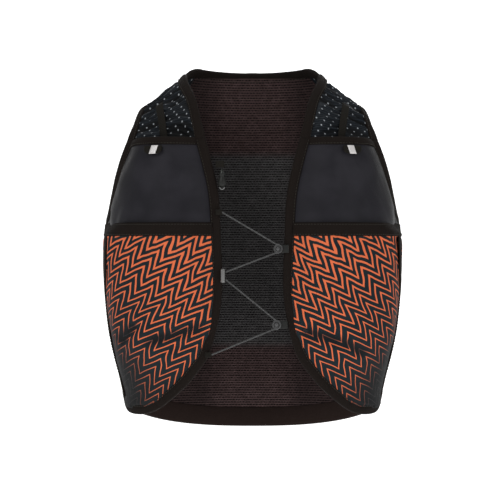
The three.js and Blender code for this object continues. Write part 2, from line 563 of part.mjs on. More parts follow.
function flask(group, side) {
  const turn = degToRad(FLASK.turn);
  const centre = (z) => vec(FLASK.x, FLASK.y - FLASK.lean * (MOUTH_Z - z), z);
  const ring = (z, halfWidth, halfThick, bend, count) =>
    steps(count).slice(0, -1).map((t) => {
      const angle = 2 * Math.PI * t;
      const across = halfWidth * Math.cos(angle);
      const out = halfThick * Math.sin(angle) - bend * Math.cos(angle) ** 2;
      const offset = vec(across * Math.cos(turn) + out * Math.sin(turn), across * Math.sin(turn) - out * Math.cos(turn), 0);
      return centre(z).add(offset);
    });
  const { halfWidth, halfThick, bend, bottom } = FLASK;
  const body = [
    ring(bottom, 0.72 * halfWidth, 0.25 * halfThick, bend, 24),
    ring(bottom + 5, 0.86 * halfWidth, 0.45 * halfThick, bend, 24),
    ring(bottom + 22, 0.97 * halfWidth, 0.85 * halfThick, bend, 24),
    ring(bottom + 55, halfWidth, halfThick, bend, 24),
    ring(-160, halfWidth, halfThick, bend, 24),
    ring(-136, 0.9 * halfWidth, halfThick, 0.8 * bend, 24),
    ring(FLASK_NECK.start, 0.66 * halfWidth, halfThick + 0.2, 0.3 * bend, 24),
    ring(FLASK_NECK.z - 6, FLASK_NECK.radius + 2, FLASK_NECK.radius, 0, 24),
    ring(FLASK_NECK.z, FLASK_NECK.radius, FLASK_NECK.radius, 0, 24),
  ];
  add(group, `flask_${side}`, loft(body), FINISH.flask);
  const round = (z, radius) => ring(z, radius, radius, 0, 24);
  const cap = [round(CAP.bottom, CAP.radius), round(CAP.top - 1.5, CAP.radius), round(CAP.top, CAP.radius - 1.5)];
  add(group, `flask_cap_${side}`, loft(cap), FINISH.cap);
  const valve = [
    round(VALVE.bottom, VALVE.radius),
    round(VALVE.bottom + 4, VALVE.radius),
    round(VALVE.bottom + 6, VALVE.radius - 1.6),
    round(VALVE.top - 7, VALVE.radius - 1.6),
    round(VALVE.top - 4, VALVE.radius),
    round(VALVE.top, VALVE.radius - 2.5),
  ];
  add(group, `flask_valve_${side}`, loft(valve), FINISH.valve);
}

// ---------------------------------------------------------------- the lacing

function box(width, depth, height, x, y, z) {
  return new THREE.BoxGeometry(width, depth, height).translate(x, y, z);
}

// The outer face of the edge tape beside the opening, on either side of it, with the parts sewn on it.
const onTape = (x, z, lift) => onFront(Math.sign(x) * girthAt(Math.max(36, Math.abs(x)), z, 'front'), z, TAPE.high + lift).y;

// A hook: a post with a guard round its far side, on a plate that is sewn to the edge tape.
function laceHook(group, name, { x, z }) {
  const { post, guardInner, guardOuter, guardAngle, plate, depth } = HOOK;
  const facing = (geometry) => geometry.rotateX(Math.PI / 2);
  const plateShape = new THREE.Shape();
  plateShape.absarc(0, 0, guardOuter - 0.4, Math.PI / 2, -Math.PI / 2, false);
  plateShape.lineTo(15, -(guardOuter - 0.4));
  plateShape.lineTo(15, guardOuter - 0.4);
  const guard = new THREE.Shape();
  const angle = degToRad(guardAngle);
  guard.absarc(0, 0, guardOuter, -angle, angle, false);
  guard.absarc(0, 0, guardInner, angle, -angle, true);
  const pieces = [
    facing(new THREE.ExtrudeGeometry(plateShape, { depth: plate, bevelEnabled: false, curveSegments: 10 })),
    facing(new THREE.ExtrudeGeometry(guard, { depth: depth - 1, bevelEnabled: false, curveSegments: 10 })),
    new THREE.CylinderGeometry(post, post, depth, 16).translate(0, -depth / 2, 0),
  ];
  add(group, name, join(pieces).translate(x, onTape(x, z, 0.8), z), FINISH.plastic);
}

const laceY = ({ x, z }) => onTape(x, z, 0.8 + LACE.lift);

// A round cord through points.
function cord(points) {
  const normal = vec(0, 1, 0);
  const rings = points.map((point, i) => {
    const tangent = points[Math.min(i + 1, points.length - 1)].clone().sub(points[Math.max(i - 1, 0)]).normalize();
    const side = tangent.clone().cross(normal).normalize();
    return steps(8).slice(0, -1).map((t) => {
      const angle = 2 * Math.PI * t;
      return point.clone()
        .addScaledVector(side, LACE.radius * Math.cos(angle))
        .addScaledVector(normal, LACE.radius * Math.sin(angle));
    });
  });
  return loft(rings);
}

// Where a straight cord from a point meets the circle that it wraps round a hook, above (1) or below (-1) it.
function tangentAngle(from, hook, side) {
  const [dx, dz] = [from.x - hook.x, from.z - hook.z];
  return Math.atan2(dz, dx) - side * Math.acos(LACE.wrap / Math.hypot(dx, dz));
}

function laceLoop(group, name, start, hook, end) {
  const [a, b] = [tangentAngle(start, hook, 1), tangentAngle(end, hook, -1) - 2 * Math.PI];
  const wrapped = steps(12).map((t) => {
    const angle = lerp(a, b, t);
    return vec(hook.x + LACE.wrap * Math.cos(angle), laceY(hook), hook.z + LACE.wrap * Math.sin(angle));
  });
  const ends = [start, end].map((p) => vec(p.x, laceY(p), p.z));
  add(group, name, cord([ends[0], ...wrapped, ends[1]]), FINISH.cord);
}

function lacing(group) {
  laceHook(group, 'lace_hook_upper', HOOKS[0]);
  laceHook(group, 'lace_hook_lower', HOOKS[1]);
  ANCHORS.forEach(({ x, z }, i) => {
    const { width, height, depth } = ANCHOR;
    const geometry = box(width, depth, height, x, laceY({ x, z }) + 0.4, z);
    add(group, `lace_anchor_${i ? 'lower' : 'upper'}`, geometry, FINISH.webbing);
  });
  const keeper = box(KEEPER.width, KEEPER.depth, KEEPER.height, KEEPER.x, laceY(KEEPER) + 0.2, KEEPER.z);
  add(group, 'lace_keeper', keeper, FINISH.plastic);
  const atAnchor = ({ x, z }) => ({ x: x + ANCHOR.width / 2 + GAP, z });
  const atKeeper = (up) => ({ x: KEEPER.x + KEEPER.width / 2 + GAP, z: KEEPER.z + up * LACE_AT_KEEPER });
  laceLoop(group, 'lace_upper', atAnchor(ANCHORS[0]), HOOKS[0], atKeeper(1));
  laceLoop(group, 'lace_lower', atKeeper(-1), HOOKS[1], atAnchor(ANCHORS[1]));
}

// ---------------------------------------------------------------- the whistle

function whistle(group) {
  const { x, tabZ, ringZ, bodyTop, bodyBottom } = WHISTLE;
  const y = onTape(-x, tabZ, 4.4);
  add(group, 'whistle_tab', box(7, 3.2, 7.4, x, y + 0.6, tabZ), FINISH.webbing);
  const ring = new THREE.TorusGeometry(2.7, 0.75, 10, 24).rotateX(Math.PI / 2).rotateX(Math.PI / 2);
  add(group, 'whistle_ring', ring.rotateY(degToRad(75)).translate(x, y, ringZ), FINISH.steel);
  const profile = [
    [0, 0], [1.4, 0.1], [1.9, 1.4], [2.2, 3], [3.1, 6.5], [3.2, 9.5], [2.6, 12.2], [1.6, 12.9], [0, 13],
  ];
  const length = bodyTop - bodyBottom;
  const body = new THREE.LatheGeometry(profile.map(([r, d]) => new THREE.Vector2(r, -(d * length) / 13)).reverse(), 20);
  add(group, 'whistle', body.rotateX(Math.PI / 2).translate(x, y, bodyTop), FINISH.whistle);
}

// ---------------------------------------------------------------- the vest

const vest = new THREE.Group();
const leftSide = new THREE.Group();
const rightSide = new THREE.Group();
rightSide.scale.x = -1;
vest.add(leftSide, rightSide);
for (const [group, side] of [[leftSide, 'left'], [rightSide, 'right']]) {
  shoulderYoke(group, side);
  armholeBinding(group, side);
  sidePanel(group, side);
  frontPanel(group, side);
  flask(group, side);
}
neckBinding(vest);
backPieces(vest);
lacing(vest);
whistle(vest);

export default vest;
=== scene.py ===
"""A running hydration vest, as worn: mesh back, laced front panels, stretch pockets and two soft flasks.

The cloth is laid on the same body form as the CAD model. Lengths are in millimetres until a mesh is made.
Girth is the distance round the body from the centre line, and it is positive on the wearer's left (+X).
"""
import math

import bmesh
import bpy
import mathutils
import numpy as np
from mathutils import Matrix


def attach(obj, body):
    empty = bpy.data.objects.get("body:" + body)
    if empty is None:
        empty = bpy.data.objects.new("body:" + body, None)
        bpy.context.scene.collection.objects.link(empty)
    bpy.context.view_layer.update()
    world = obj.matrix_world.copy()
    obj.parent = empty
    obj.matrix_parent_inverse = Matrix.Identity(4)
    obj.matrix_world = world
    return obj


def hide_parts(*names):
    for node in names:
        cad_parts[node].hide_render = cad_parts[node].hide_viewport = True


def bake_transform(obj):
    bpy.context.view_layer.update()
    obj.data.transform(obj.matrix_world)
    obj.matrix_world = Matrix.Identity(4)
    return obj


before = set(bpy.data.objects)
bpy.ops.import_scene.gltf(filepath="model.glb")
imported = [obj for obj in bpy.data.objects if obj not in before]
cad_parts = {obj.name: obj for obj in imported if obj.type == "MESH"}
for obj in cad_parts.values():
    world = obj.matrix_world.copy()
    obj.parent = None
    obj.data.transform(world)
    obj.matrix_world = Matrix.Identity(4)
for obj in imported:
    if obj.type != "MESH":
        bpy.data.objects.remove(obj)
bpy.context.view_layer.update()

MM = 0.001

# ---------------------------------------------------------------- dimensions shared with the CAD model

BODY_Z = np.array([-110, -203, -286, -350, -395.0])
BODY = {
    "halfWidth": np.array([162, 167, 157, 143, 139.0]),
    "front": np.array([103, 105, 101, 94, 90.0]),
    "back": np.array([99, 97, 91, 88, 88.0]),
}
SQUARENESS = 2.4  # exponent of the superellipse that each section follows
CHEST_TOP, BLADE_TOP = -95, -110  # above these the chest and the back round over to the shoulder
NECK_X, NECK_Z = 75, 18
SHOULDER_SLOPE = 0.72
NAPE_RISE = 57  # how far the back would rise above the neck points at its centre line
SETTLE = 4.5  # how far the cloth lies below the ridge outside the neck
YOKE_BACK_ANGLE = 25  # behind the top of the shoulder, where the yoke meets the back
YOKE_NECK_X, YOKE_ARM_X = 57, 127  # the ends of that seam
NAPE_Z, UNDERARM_Z = 26, -153.5
MOUTH_Z, LOWER_MOUTH_Z, SLEEVE_BOTTOM = -58, -152, -286
PANEL_CORNER_Z, SIDE_HEM_Z, BACK_HEM_Z = -344, -352, -393
SIDE_SEAM = 44  # from the side line back to the seam of the back panel
REAR_TOP = -226

# Widths of the tapes, and how far pockets and lining stand off their seams.
EDGE_TAPE, ARMHOLE_TAPE, FRONT_ARMHOLE_TAPE = 10.6, 9, 12
NAPE_TAPE, NAPE_TUCK = 5.6, 3.0
MOUTH_TAPE, LOWER_MOUTH_TAPE, REAR_TAPE, HEM_TAPE = 9, 15, 12, 23
SIDE_TAPE, SIDE_TAPE_SHOW = 14, 7.0
FLASK_X = 97
FLASK_DEPTH, LOWER_DEPTH, REAR_DEPTH, LINING_DIP = 20, 20, 14, 8

# ---------------------------------------------------------------- small maths


def lerp(a, b, t):
    return a + (b - a) * t


def ease(t):
    t = np.clip(t, 0, 1)
    return t * t * (3 - 2 * t)


def swell(t, sharpness):
    """Rises from 0 to 1 half way, and falls back to 0."""
    return np.maximum(0, np.sin(np.pi * np.clip(t, 0, 1))) ** sharpness


def lattice(ix, iy, seed):
    """A fixed pseudo-random number from -1 to 1 for each point of a square lattice."""
    n = (ix.astype(np.int64) * 374761393 + iy.astype(np.int64) * 668265263 + seed * 362437) & 0xFFFFFFFF
    n = ((n ^ (n >> 13)) * 1274126177) & 0xFFFFFFFF
    return ((n ^ (n >> 16)) & 0xFFFF) / 32767.5 - 1


def noise(x, y, seed=0):
    ix, iy = np.floor(x), np.floor(y)
    fx, fy = ease(x - ix), ease(y - iy)
    top = lerp(lattice(ix, iy, seed), lattice(ix + 1, iy, seed), fx)
    bottom = lerp(lattice(ix, iy + 1, seed), lattice(ix + 1, iy + 1, seed), fx)
    return lerp(top, bottom, fy)


def fractal(x, y, seed=0, octaves=3):
    total = np.zeros(np.broadcast(x, y).shape)
    for k in range(octaves):
        total = total + noise(x * 2**k + 7.1 * k, y * 2**k - 3.7 * k, seed + k) / 2**k
    return total


def crease(a, b, start, end, width, depth):
    """A soft valley along a line from start to end in the plane of a and b, that dies away at its ends."""
    (ax, ay), (bx, by) = start, end
    length = math.hypot(bx - ax, by - ay)
    along = ((a - ax) * (bx - ax) + (b - ay) * (by - ay)) / length**2
    across = ((a - ax) * (by - ay) - (b - ay) * (bx - ax)) / length
    fade = ease((along + 0.15) / 0.35) * ease((1.15 - along) / 0.35)
    valley = np.exp(-((across / width) ** 2))
    ridge = np.exp(-(((across - 1.7 * width) / width) ** 2))
    return -depth * fade * (valley - 0.55 * ridge)


def cubic(table, z):
    """A smooth curve through a column of the body table, held beyond its ends."""
    z = np.clip(z, BODY_Z[-1], BODY_Z[0])
    slope = np.zeros(len(table))
    slope[1:-1] = (table[2:] - table[:-2]) / (BODY_Z[2:] - BODY_Z[:-2])
    i = np.clip(np.searchsorted(-BODY_Z, -z, side="right") - 1, 0, len(table) - 2)
    span = BODY_Z[i + 1] - BODY_Z[i]
    t = (z - BODY_Z[i]) / span
    return (
        (2 * t**3 - 3 * t**2 + 1) * table[i]
        + (t**3 - 2 * t**2 + t) * span * slope[i]
        + (3 * t**2 - 2 * t**3) * table[i + 1]
        + (t**3 - t**2) * span * slope[i + 1]
    )


def spline(points, count=400):
    """A Catmull-Rom curve through points, sampled evenly in its parameter."""
    p = np.array(points, float)
    last = len(p) - 1
    s = np.linspace(0, last, count + 1)
    i = np.minimum(s.astype(int), last - 1)
    w = (s - i)[:, None]
    p0, p1, p2, p3 = p[np.maximum(i - 1, 0)], p[i], p[i + 1], p[np.minimum(i + 2, last)]
    v0, v1 = (p2 - p0) / 2, (p3 - p1) / 2
    return (2 * p1 - 2 * p2 + v0 + v1) * w**3 + (3 * p2 - 3 * p1 - 2 * v0 - v1) * w**2 + v0 * w + p1


def run_of(points):
    """The distance along a line of points in space, point by point."""
    return np.concatenate([[0], np.cumsum(np.linalg.norm(np.diff(points, axis=0), axis=1))])


def at_run(points, run, wanted):
    """Points of a line at the wanted distances along it."""
    return np.stack([np.interp(wanted, run, points[:, k]) for k in range(points.shape[1])], axis=-1)


def unit_grid(columns, rows, low=0):
    """Two arrays, rows by columns: from low to 1 across, and from 0 to 1 down."""
    u = np.linspace(low, 1, columns)[None, :] + np.zeros((rows, 1))
    return u, np.linspace(0, 1, rows)[:, None] + np.zeros((1, columns))


# ---------------------------------------------------------------- the body form

ARC = 160  # steps of girth from the centre line to the side
SECTION_STEP = 2.0
SECTION_Z = np.arange(-400, -107, SECTION_STEP)


def section_table(depth_key):
    """x and y of each section at even steps of girth, and the girth from the centre line to the side."""
    angle = np.linspace(0, np.pi / 2, 400)
    xs, ys, girth = [], [], []
    for z in SECTION_Z:
        a, b = cubic(BODY["halfWidth"], z), cubic(BODY[depth_key], z)
        reach = ((np.sin(angle) / a) ** SQUARENESS + (np.cos(angle) / b) ** SQUARENESS) ** (-1 / SQUARENESS)
        x, y = reach * np.sin(angle), reach * np.cos(angle)
        run = run_of(np.stack([x, y], axis=-1))
        even = np.linspace(0, run[-1], ARC + 1)
        xs.append(np.interp(even, run, x))
        ys.append(np.interp(even, run, y))
        girth.append(run[-1])
    return np.array(xs), np.array(ys), np.array(girth)


SECTIONS = {key: section_table(key) for key in ("front", "back")}


def side_girth(z, side):
    return np.interp(z, SECTION_Z, SECTIONS[side][2])


def section(q, z, side):
    """x and y at the girth q and the height z, of the front or the back."""
    xs, ys, _ = SECTIONS[side]
    row = (np.clip(z, SECTION_Z[0], BODY_Z[0]) - SECTION_Z[0]) / SECTION_STEP
    row = np.clip(row, 0, len(SECTION_Z) - 1.001)
    r = row.astype(int)
    fr = row - r
    col = np.clip(np.abs(q) / side_girth(z, side), 0, 1) * ARC
    c = np.minimum(col.astype(int), ARC - 1)
    fc = col - c

    def read(table):
        low = lerp(table[r, c], table[r, c + 1], fc)
        return lerp(low, lerp(table[r + 1, c], table[r + 1, c + 1], fc), fr)

    return read(xs), read(ys)


def girth_at(x, z, side):
    q = np.linspace(0, float(side_girth(z, side)), 300)
    return float(np.interp(x, section(q, np.full(300, float(z)), side)[0], q))


def ridge_front(x):
    """The worn cloth settles a little below the ridge outside the neck."""
    return NECK_Z - SHOULDER_SLOPE * (x - NECK_X) - SETTLE * ease((np.abs(x) - 72) / 20)


def ridge_back(x):
    """The top of the back: the shoulder's slope, and an arch across the nape."""
    return np.where(x >= NECK_X, ridge_front(x), NECK_Z + NAPE_RISE * (1 - (x / NECK_X) ** 2))


def front_point(q, z):
    q, z = np.broadcast_arrays(np.asarray(q, float), np.asarray(z, float))
    x, y = section(q, z, "front")
    t = np.clip((z - CHEST_TOP) / (ridge_front(x) - CHEST_TOP), 0, 1)
    return np.stack([np.where(q < 0, -x, x), -y * np.sqrt(1 - t * t), z], axis=-1)


def back_point(q, z):
    q, z = np.broadcast_arrays(np.asarray(q, float), np.asarray(z, float))
    x, y = section(q, z, "back")
    t = np.clip((z - BLADE_TOP) / (ridge_back(x) - BLADE_TOP), 0, 1)
    return np.stack([np.where(q < 0, -x, x), y * np.sqrt(1 - t * t), z], axis=-1)


def shoulder_point(x, angle):
    """The shoulder at half width x and at an angle over it: positive in front and negative behind."""
    x, angle = np.broadcast_arrays(np.asarray(x, float), np.asarray(angle, float))
    front = angle >= 0
    low = np.where(front, CHEST_TOP, BLADE_TOP)
    ridge = np.where(front, ridge_front(np.abs(x)), ridge_back(np.abs(x)))
    depth = np.where(front, BODY["front"][0], BODY["back"][0])
    y = depth * (1 - (np.abs(x) / BODY["halfWidth"][0]) ** SQUARENESS) ** (1 / SQUARENESS)
    turn = np.radians(angle)
    return np.stack([x, -y * np.sin(turn), low + (ridge - low) * np.cos(turn)], axis=-1)


def angle_at(x, z):
    return np.degrees(np.arccos(np.clip((z - CHEST_TOP) / (ridge_front(x) - CHEST_TOP), 0, 1)))


def gradients(surface, a, b, step=0.5):
    along_a = (surface(a + step, b) - surface(a - step, b)) / (2 * step)
    return along_a, (surface(a, b + step) - surface(a, b - step)) / (2 * step)


def lifted(surface, a, b, offset):
    """Points of a surface moved out from the body by an offset, which is level on the chest."""
    p = surface(a, b)
    da, db = gradients(surface, a, b)
    if surface is front_point:
        db = np.broadcast_to(np.array([0, 0, 1.0]), da.shape)
    normal = np.cross(da, db)
    normal /= np.maximum(np.linalg.norm(normal, axis=-1, keepdims=True), 1e-9)
    outward = p * np.array([1, 1, 0]) + np.maximum(0, p[..., 2:] - CHEST_TOP) * np.array([0, 0, 1])
    normal = np.where((normal * outward).sum(-1, keepdims=True) < 0, -normal, normal)
    return p + normal * np.asarray(offset)[..., None]


def moved_square(surface, path, distance, turn):
    """A path on a surface, in the surface's own two coordinates, moved sideways by a true distance."""
    a, b = path[:, 0], path[:, 1]
    da, db = gradients(surface, a, b)
    ta, tb = np.gradient(a), np.gradient(b)
    tangent = da * ta[:, None] + db * tb[:, None]
    ga, gb = (tangent * da).sum(-1), (tangent * db).sum(-1)
    sideways = np.stack([-gb, ga], axis=-1)
    length = np.linalg.norm(da * sideways[:, :1] + db * sideways[:, 1:], axis=-1, keepdims=True)
    return path + turn * np.reshape(distance, (-1, 1)) * sideways / np.maximum(length, 1e-9)


# ---------------------------------------------------------------- outlines


def front_points(points):
    return [(girth_at(x, z, "front"), z) for x, z in points]


FRONT_EDGE = spline(
    front_points([(57.5, -40), (51.8, MOUTH_Z), (38, -116), (34.5, -171), (33.6, -235)])
    + front_points([(45.5, -292), (60, -317), (78, -338), (102, -358.5), (119, -366)])
    + [(girth_at(134, -366, "front") + 2, -366.5), (float(side_girth(-360, "front")) - 19, -361)]
    + [(float(side_girth(SIDE_HEM_Z, "front")), SIDE_HEM_Z)]
)
FRONT_ARMHOLE = spline(
    front_points([(130.5, -36), (138, MOUTH_Z), (145.5, -78), (151.5, -98), (158, -126), (161.5, -141)])
    + [(girth_at(164, -150, "front") + 4, -151), (float(side_girth(UNDERARM_Z, "front")), UNDERARM_Z)]
)


def yoke_seam_z(x):
    return BLADE_TOP + (ridge_back(x) - BLADE_TOP) * math.cos(math.radians(YOKE_BACK_ANGLE))


def side_seam(z):
    return side_girth(z, "back") - SIDE_SEAM


BLADE_EDGE = [(YOKE_ARM_X, float(yoke_seam_z(YOKE_ARM_X))), (130, -60), (134, -100), (143, -128)]
BACK_ARMHOLE = spline(
    [(girth_at(x, z, "back"), z) for x, z in BLADE_EDGE]
    + [(float(side_seam(-148)) - 3, -148), (float(side_seam(UNDERARM_Z)) + 18, UNDERARM_Z)]
    + [(float(side_girth(UNDERARM_Z, "back")), UNDERARM_Z)]
)
NECKLINE = spline([(YOKE_NECK_X, -YOKE_BACK_ANGLE), (68, -12), (75, 0), (72, 28), (60, 55), (51.5, 80)])
SHOULDER_LINE = spline([(YOKE_ARM_X, -YOKE_BACK_ANGLE), (126, 0), (129.5, 25), (141, 80)])


def inset(curve, distance, turn):
    """A curve moved sideways in its own plane, to the left (1) or the right (-1) of its run."""
    tangent = np.gradient(curve, axis=0)
    tangent /= np.linalg.norm(tangent, axis=1, keepdims=True)
    return curve + turn * distance * np.stack([-tangent[:, 1], tangent[:, 0]], axis=-1)


def girth_on(curve, z):
    """Girth of a falling curve at the heights z."""
    lowest = np.minimum.accumulate(curve[:, 1])
    keep = np.concatenate([[True], lowest[1:] < lowest[:-1]])
    return np.interp(-np.asarray(z, float), -curve[keep, 1], curve[keep, 0])


def hem_height(q):
    """The bottom edge of the back, which rises from its middle to the sides."""
    return lerp(BACK_HEM_Z, SIDE_HEM_Z, (np.abs(q) / side_girth(SIDE_HEM_Z, "back")) ** 2.6)


def hem_width(q):
    """The hem tape narrows to the width of the front edge tape where the two meet at the side."""
    share = np.abs(q) / float(side_girth(SIDE_HEM_Z, "back"))
    return lerp(HEM_TAPE, EDGE_TAPE, ease((share - 0.76) / 0.22))


# The cloth runs on a little way under each tape.
TUCK = 4.0
PANEL_INNER = inset(FRONT_EDGE, EDGE_TAPE - TUCK, 1)
PANEL_OUTER = inset(FRONT_ARMHOLE, ARMHOLE_TAPE - TUCK, -1)
SEAM_INNER = inset(FRONT_EDGE, EDGE_TAPE, 1)
SEAM_OUTER = inset(FRONT_ARMHOLE, ARMHOLE_TAPE + 1, -1)


def outer_girth(curve, z):
    """Girth of the armhole, and below it of the side line."""
    side = side_girth(z, "front")
    return np.where(z <= curve[-1, 1], side, np.minimum(girth_on(curve, z), side))


def panel_grid(columns, rows, top, bottom=None):
    """Girth and height over a front panel, from a top height to a bottom height or to its bottom edge."""
    u, v = unit_grid(columns, rows)
    if bottom is not None:
        z = lerp(top, bottom, v)
        return lerp(girth_on(PANEL_INNER, z), outer_girth(PANEL_OUTER, z), u), z, u, v
    corner, side = PANEL_CORNER_Z + EDGE_TAPE - TUCK - 4, SIDE_HEM_Z + EDGE_TAPE - TUCK
    zi, zo = lerp(top, corner, v), lerp(top, side, v)
    q = lerp(girth_on(PANEL_INNER, zi), outer_girth(PANEL_OUTER, zo), u)
    lower = PANEL_INNER[PANEL_INNER[:, 1] < PANEL_CORNER_Z + 24]
    foot_q = lerp(float(girth_on(PANEL_INNER, corner)), float(side_girth(side, "front")), u)
    foot = np.interp(foot_q, lower[:, 0], lower[:, 1])
    sag = foot - lerp(corner, side, u)
    return q, lerp(zi, zo, u) + sag * v**3, u, v


CENTRE_GIRTH = girth_at(FLASK_X, -150, "front")


def flask_swell(q, z):
    """1 over the middle of the flask and 0 at the sewn edges of its pocket."""
    inner = girth_on(SEAM_INNER, np.maximum(z, -235))
    outer = outer_girth(SEAM_OUTER, np.maximum(z, -135.0))
    near = (q - inner) / (2 * (CENTRE_GIRTH - inner))
    far = 0.5 + (q - CENTRE_GIRTH) / (2 * (outer - CENTRE_GIRTH))
    return swell(np.where(q < CENTRE_GIRTH, near, far), 0.85) * ease((z - SLEEVE_BOTTOM) / 38)


def panel_fraction(q, z):
    """How far a point is from the front edge tape, 0, to the armhole or the side, 1."""
    inner = girth_on(SEAM_INNER, z)
    return np.clip((q - inner) / (outer_girth(SEAM_OUTER, z) - inner), 0, 1)


def lower_swell(q, z):
    """1 where the stretch pocket stands out most, and 0 at its edges."""
    return swell(panel_fraction(q, z) ** 0.85, 1.4) * ease((z + 352) / 90)


# ---------------------------------------------------------------- meshes


def make_object(name, vertices, faces, material, cloth=None):
    """A mesh in metres from points in millimetres, with a cloth coordinate for each point."""
    mesh = bpy.data.meshes.new(name)
    mesh.from_pydata((np.asarray(vertices) * MM).tolist(), [], faces)
    if cloth is not None:
        layer = mesh.attributes.new("cloth", "FLOAT_VECTOR", "POINT")
        layer.data.foreach_set("vector", np.asarray(cloth, np.float32).ravel())
    mesh.polygons.foreach_set("use_smooth", [True] * len(mesh.polygons))
    mesh.materials.append(material)
    mesh.validate()
    mesh.update()
    piece = bpy.data.objects.new(name, mesh)
    bpy.context.collection.objects.link(piece)
    return piece


def sheet_piece(name, outer, inner, cloth, material):
    """A cloth with thickness from two grids of points, rows by columns, closed round its rim."""
    rows, columns = outer.shape[:2]
    index = np.arange(rows * columns).reshape(rows, columns)
    a, b, c, d = index[:-1, :-1], index[:-1, 1:], index[1:, 1:], index[1:, :-1]
    count = rows * columns
    # Wind the outer face so that it points away from the inner one.
    du, dv = outer[0, 1] - outer[0, 0], outer[1, 0] - outer[0, 0]
    flip = np.dot(np.cross(du, dv), outer[0, 0] - inner[0, 0]) < 0
    order = (a, d, c, b) if flip else (a, b, c, d)
    front = np.stack([o.ravel() for o in order], axis=1)
    back = np.stack([o.ravel() for o in order[::-1]], axis=1) + count
    rim = np.concatenate([index[0, :], index[1:, -1], index[-1, -2::-1], index[-2:0:-1, 0]])
    first, second = (rim, np.roll(rim, -1)) if flip else (np.roll(rim, -1), rim)
    edge = np.stack([first, second, second + count, first + count], axis=1)
    faces = np.concatenate([front, back, edge])
    vertices = np.concatenate([outer.reshape(-1, 3), inner.reshape(-1, 3)])
    data = np.concatenate([cloth.reshape(-1, 3)] * 2)
    return make_object(name, vertices, faces.tolist(), material, data)


def tube_piece(name, rings, material, cloth=None):
    """A closed skin over a stack of rings of points, ring by ring."""
    rows, around = rings.shape[:2]
    index = np.arange(rows * around).reshape(rows, around)
    following = np.roll(index, -1, axis=1)
    faces = np.stack([index[:-1], following[:-1], following[1:], index[1:]], axis=-1).reshape(-1, 4).tolist()
    faces += [index[0, ::-1].tolist(), index[-1].tolist()]
    piece = make_object(name, rings.reshape(-1, 3), faces, material, cloth)
    bpy.context.view_layer.update()
    work = bmesh.new()
    work.from_mesh(piece.data)
    bmesh.ops.recalc_face_normals(work, faces=work.faces)
    work.to_mesh(piece.data)
    work.free()
    return piece


TAPE_STEP, BAND_STEP, STITCH_STEP = 2.6, 2.0, 1.0
PUCKER_PITCH = 7.0


def tape_section(width, low, high):
    """Section of a folded edge tape: distance in from the free edge, and height, round the section."""
    middle, half = (low + high) / 2, (high - low) / 2
    nose_depth, nose_turn = 1.8, 1.25
    over = [(width, high - 0.7), (width - 0.5, high - 0.25), (width - 1.6, high - 0.55)]
    over += [(width - 2.6, high - 0.1), (width * 0.5, high + 0.15), (nose_depth, high)]
    turns = np.linspace(nose_turn, -nose_turn, 7)
    nose = [(nose_depth * (1 - math.cos(t)), middle + half * math.sin(t)) for t in turns]
    under = [(nose_depth, low), (width * 0.5, low - 0.1), (width - 1, low + 0.1), (width, low + 0.5)]
    return np.array(over + nose + under)


def turn_into(surface, path, into):
    """The turn for moved_square that makes a path's first coordinate rise (into 1) or fall (into -1).

    Where into is None, it is the turn that leads down from the middle of the path.
    """
    moved = moved_square(surface, path, 1.0, 1)
    if into is None:
        middle = len(path) // 2
        return 1 if moved[middle, 1] < path[middle, 1] else -1
    return 1 if (moved[0, 0] - path[0, 0]) * into > 0 else -1


def tape_rings(surface, path, section, turn, base=None, pucker=0.25, seed=0, breadth=1.0, upright=None):
    """Rings of a tape that follows a path on a surface, in the surface's own coordinates.

    Where upright is 1 the tape's width runs straight up, so that its end is flush with a side seam.
    """
    rings, cloth = [], []
    run = run_of(surface(*path.T))
    for s, h in section:
        moved = moved_square(surface, path, s * breadth, turn)
        if upright is not None:
            straight = path + np.stack([0 * run, s * breadth + 0 * run], axis=-1)
            moved = lerp(moved, straight, upright(run)[:, None])
        wave = pucker * noise(run / PUCKER_PITCH, np.full(len(run), s / 9.0), seed) * min(1, s / 3)
        stand = base(*moved.T) if base else 0
        rings.append(lifted(surface, *moved.T, h + wave + stand))
        cloth.append(np.stack([run, np.full(len(run), s), 0 * run], axis=-1))
    return np.stack(rings, axis=1), np.stack(cloth, axis=1)


def even_path(surface, path, spacing):
    """The same path with points at even true spacing."""
    run = run_of(surface(*path.T))
    return at_run(path, run, np.linspace(0, run[-1], max(2, int(run[-1] / spacing))))


# ---------------------------------------------------------------- materials


class Value:
    """An output of a material's nodes, from which arithmetic makes further nodes."""

    def __init__(self, shader, socket):
        self.shader, self.socket = shader, socket

    def math(self, operation, other=0.0):
        return self.shader.math(operation, self, other)

    def __add__(self, other):
        return self.math("ADD", other)

    def __sub__(self, other):
        return self.math("SUBTRACT", other)

    def __rsub__(self, other):
        return self.shader.math("SUBTRACT", other, self)

    def __mul__(self, other):
        return self.math("MULTIPLY", other)

    def __truediv__(self, other):
        return self.math("DIVIDE", other)

    def absolute(self):
        return self.math("ABSOLUTE")

    def fraction(self):
        return self.math("FRACT")

    def span(self, low, high, to_low=0.0, to_high=1.0, kind="SMOOTHSTEP"):
        """The value mapped from one range to another, and held at the ends."""
        limits = (low, high, to_low, to_high)
        made = self.shader.node("ShaderNodeMapRange", self, *limits, interpolation_type=kind)
        return Value(self.shader, made.outputs[0])

    def wave(self, period):
        """A sine from -1 to 1 with a period in the value's own unit."""
        return (self * (2 * math.pi / period)).math("SINE")


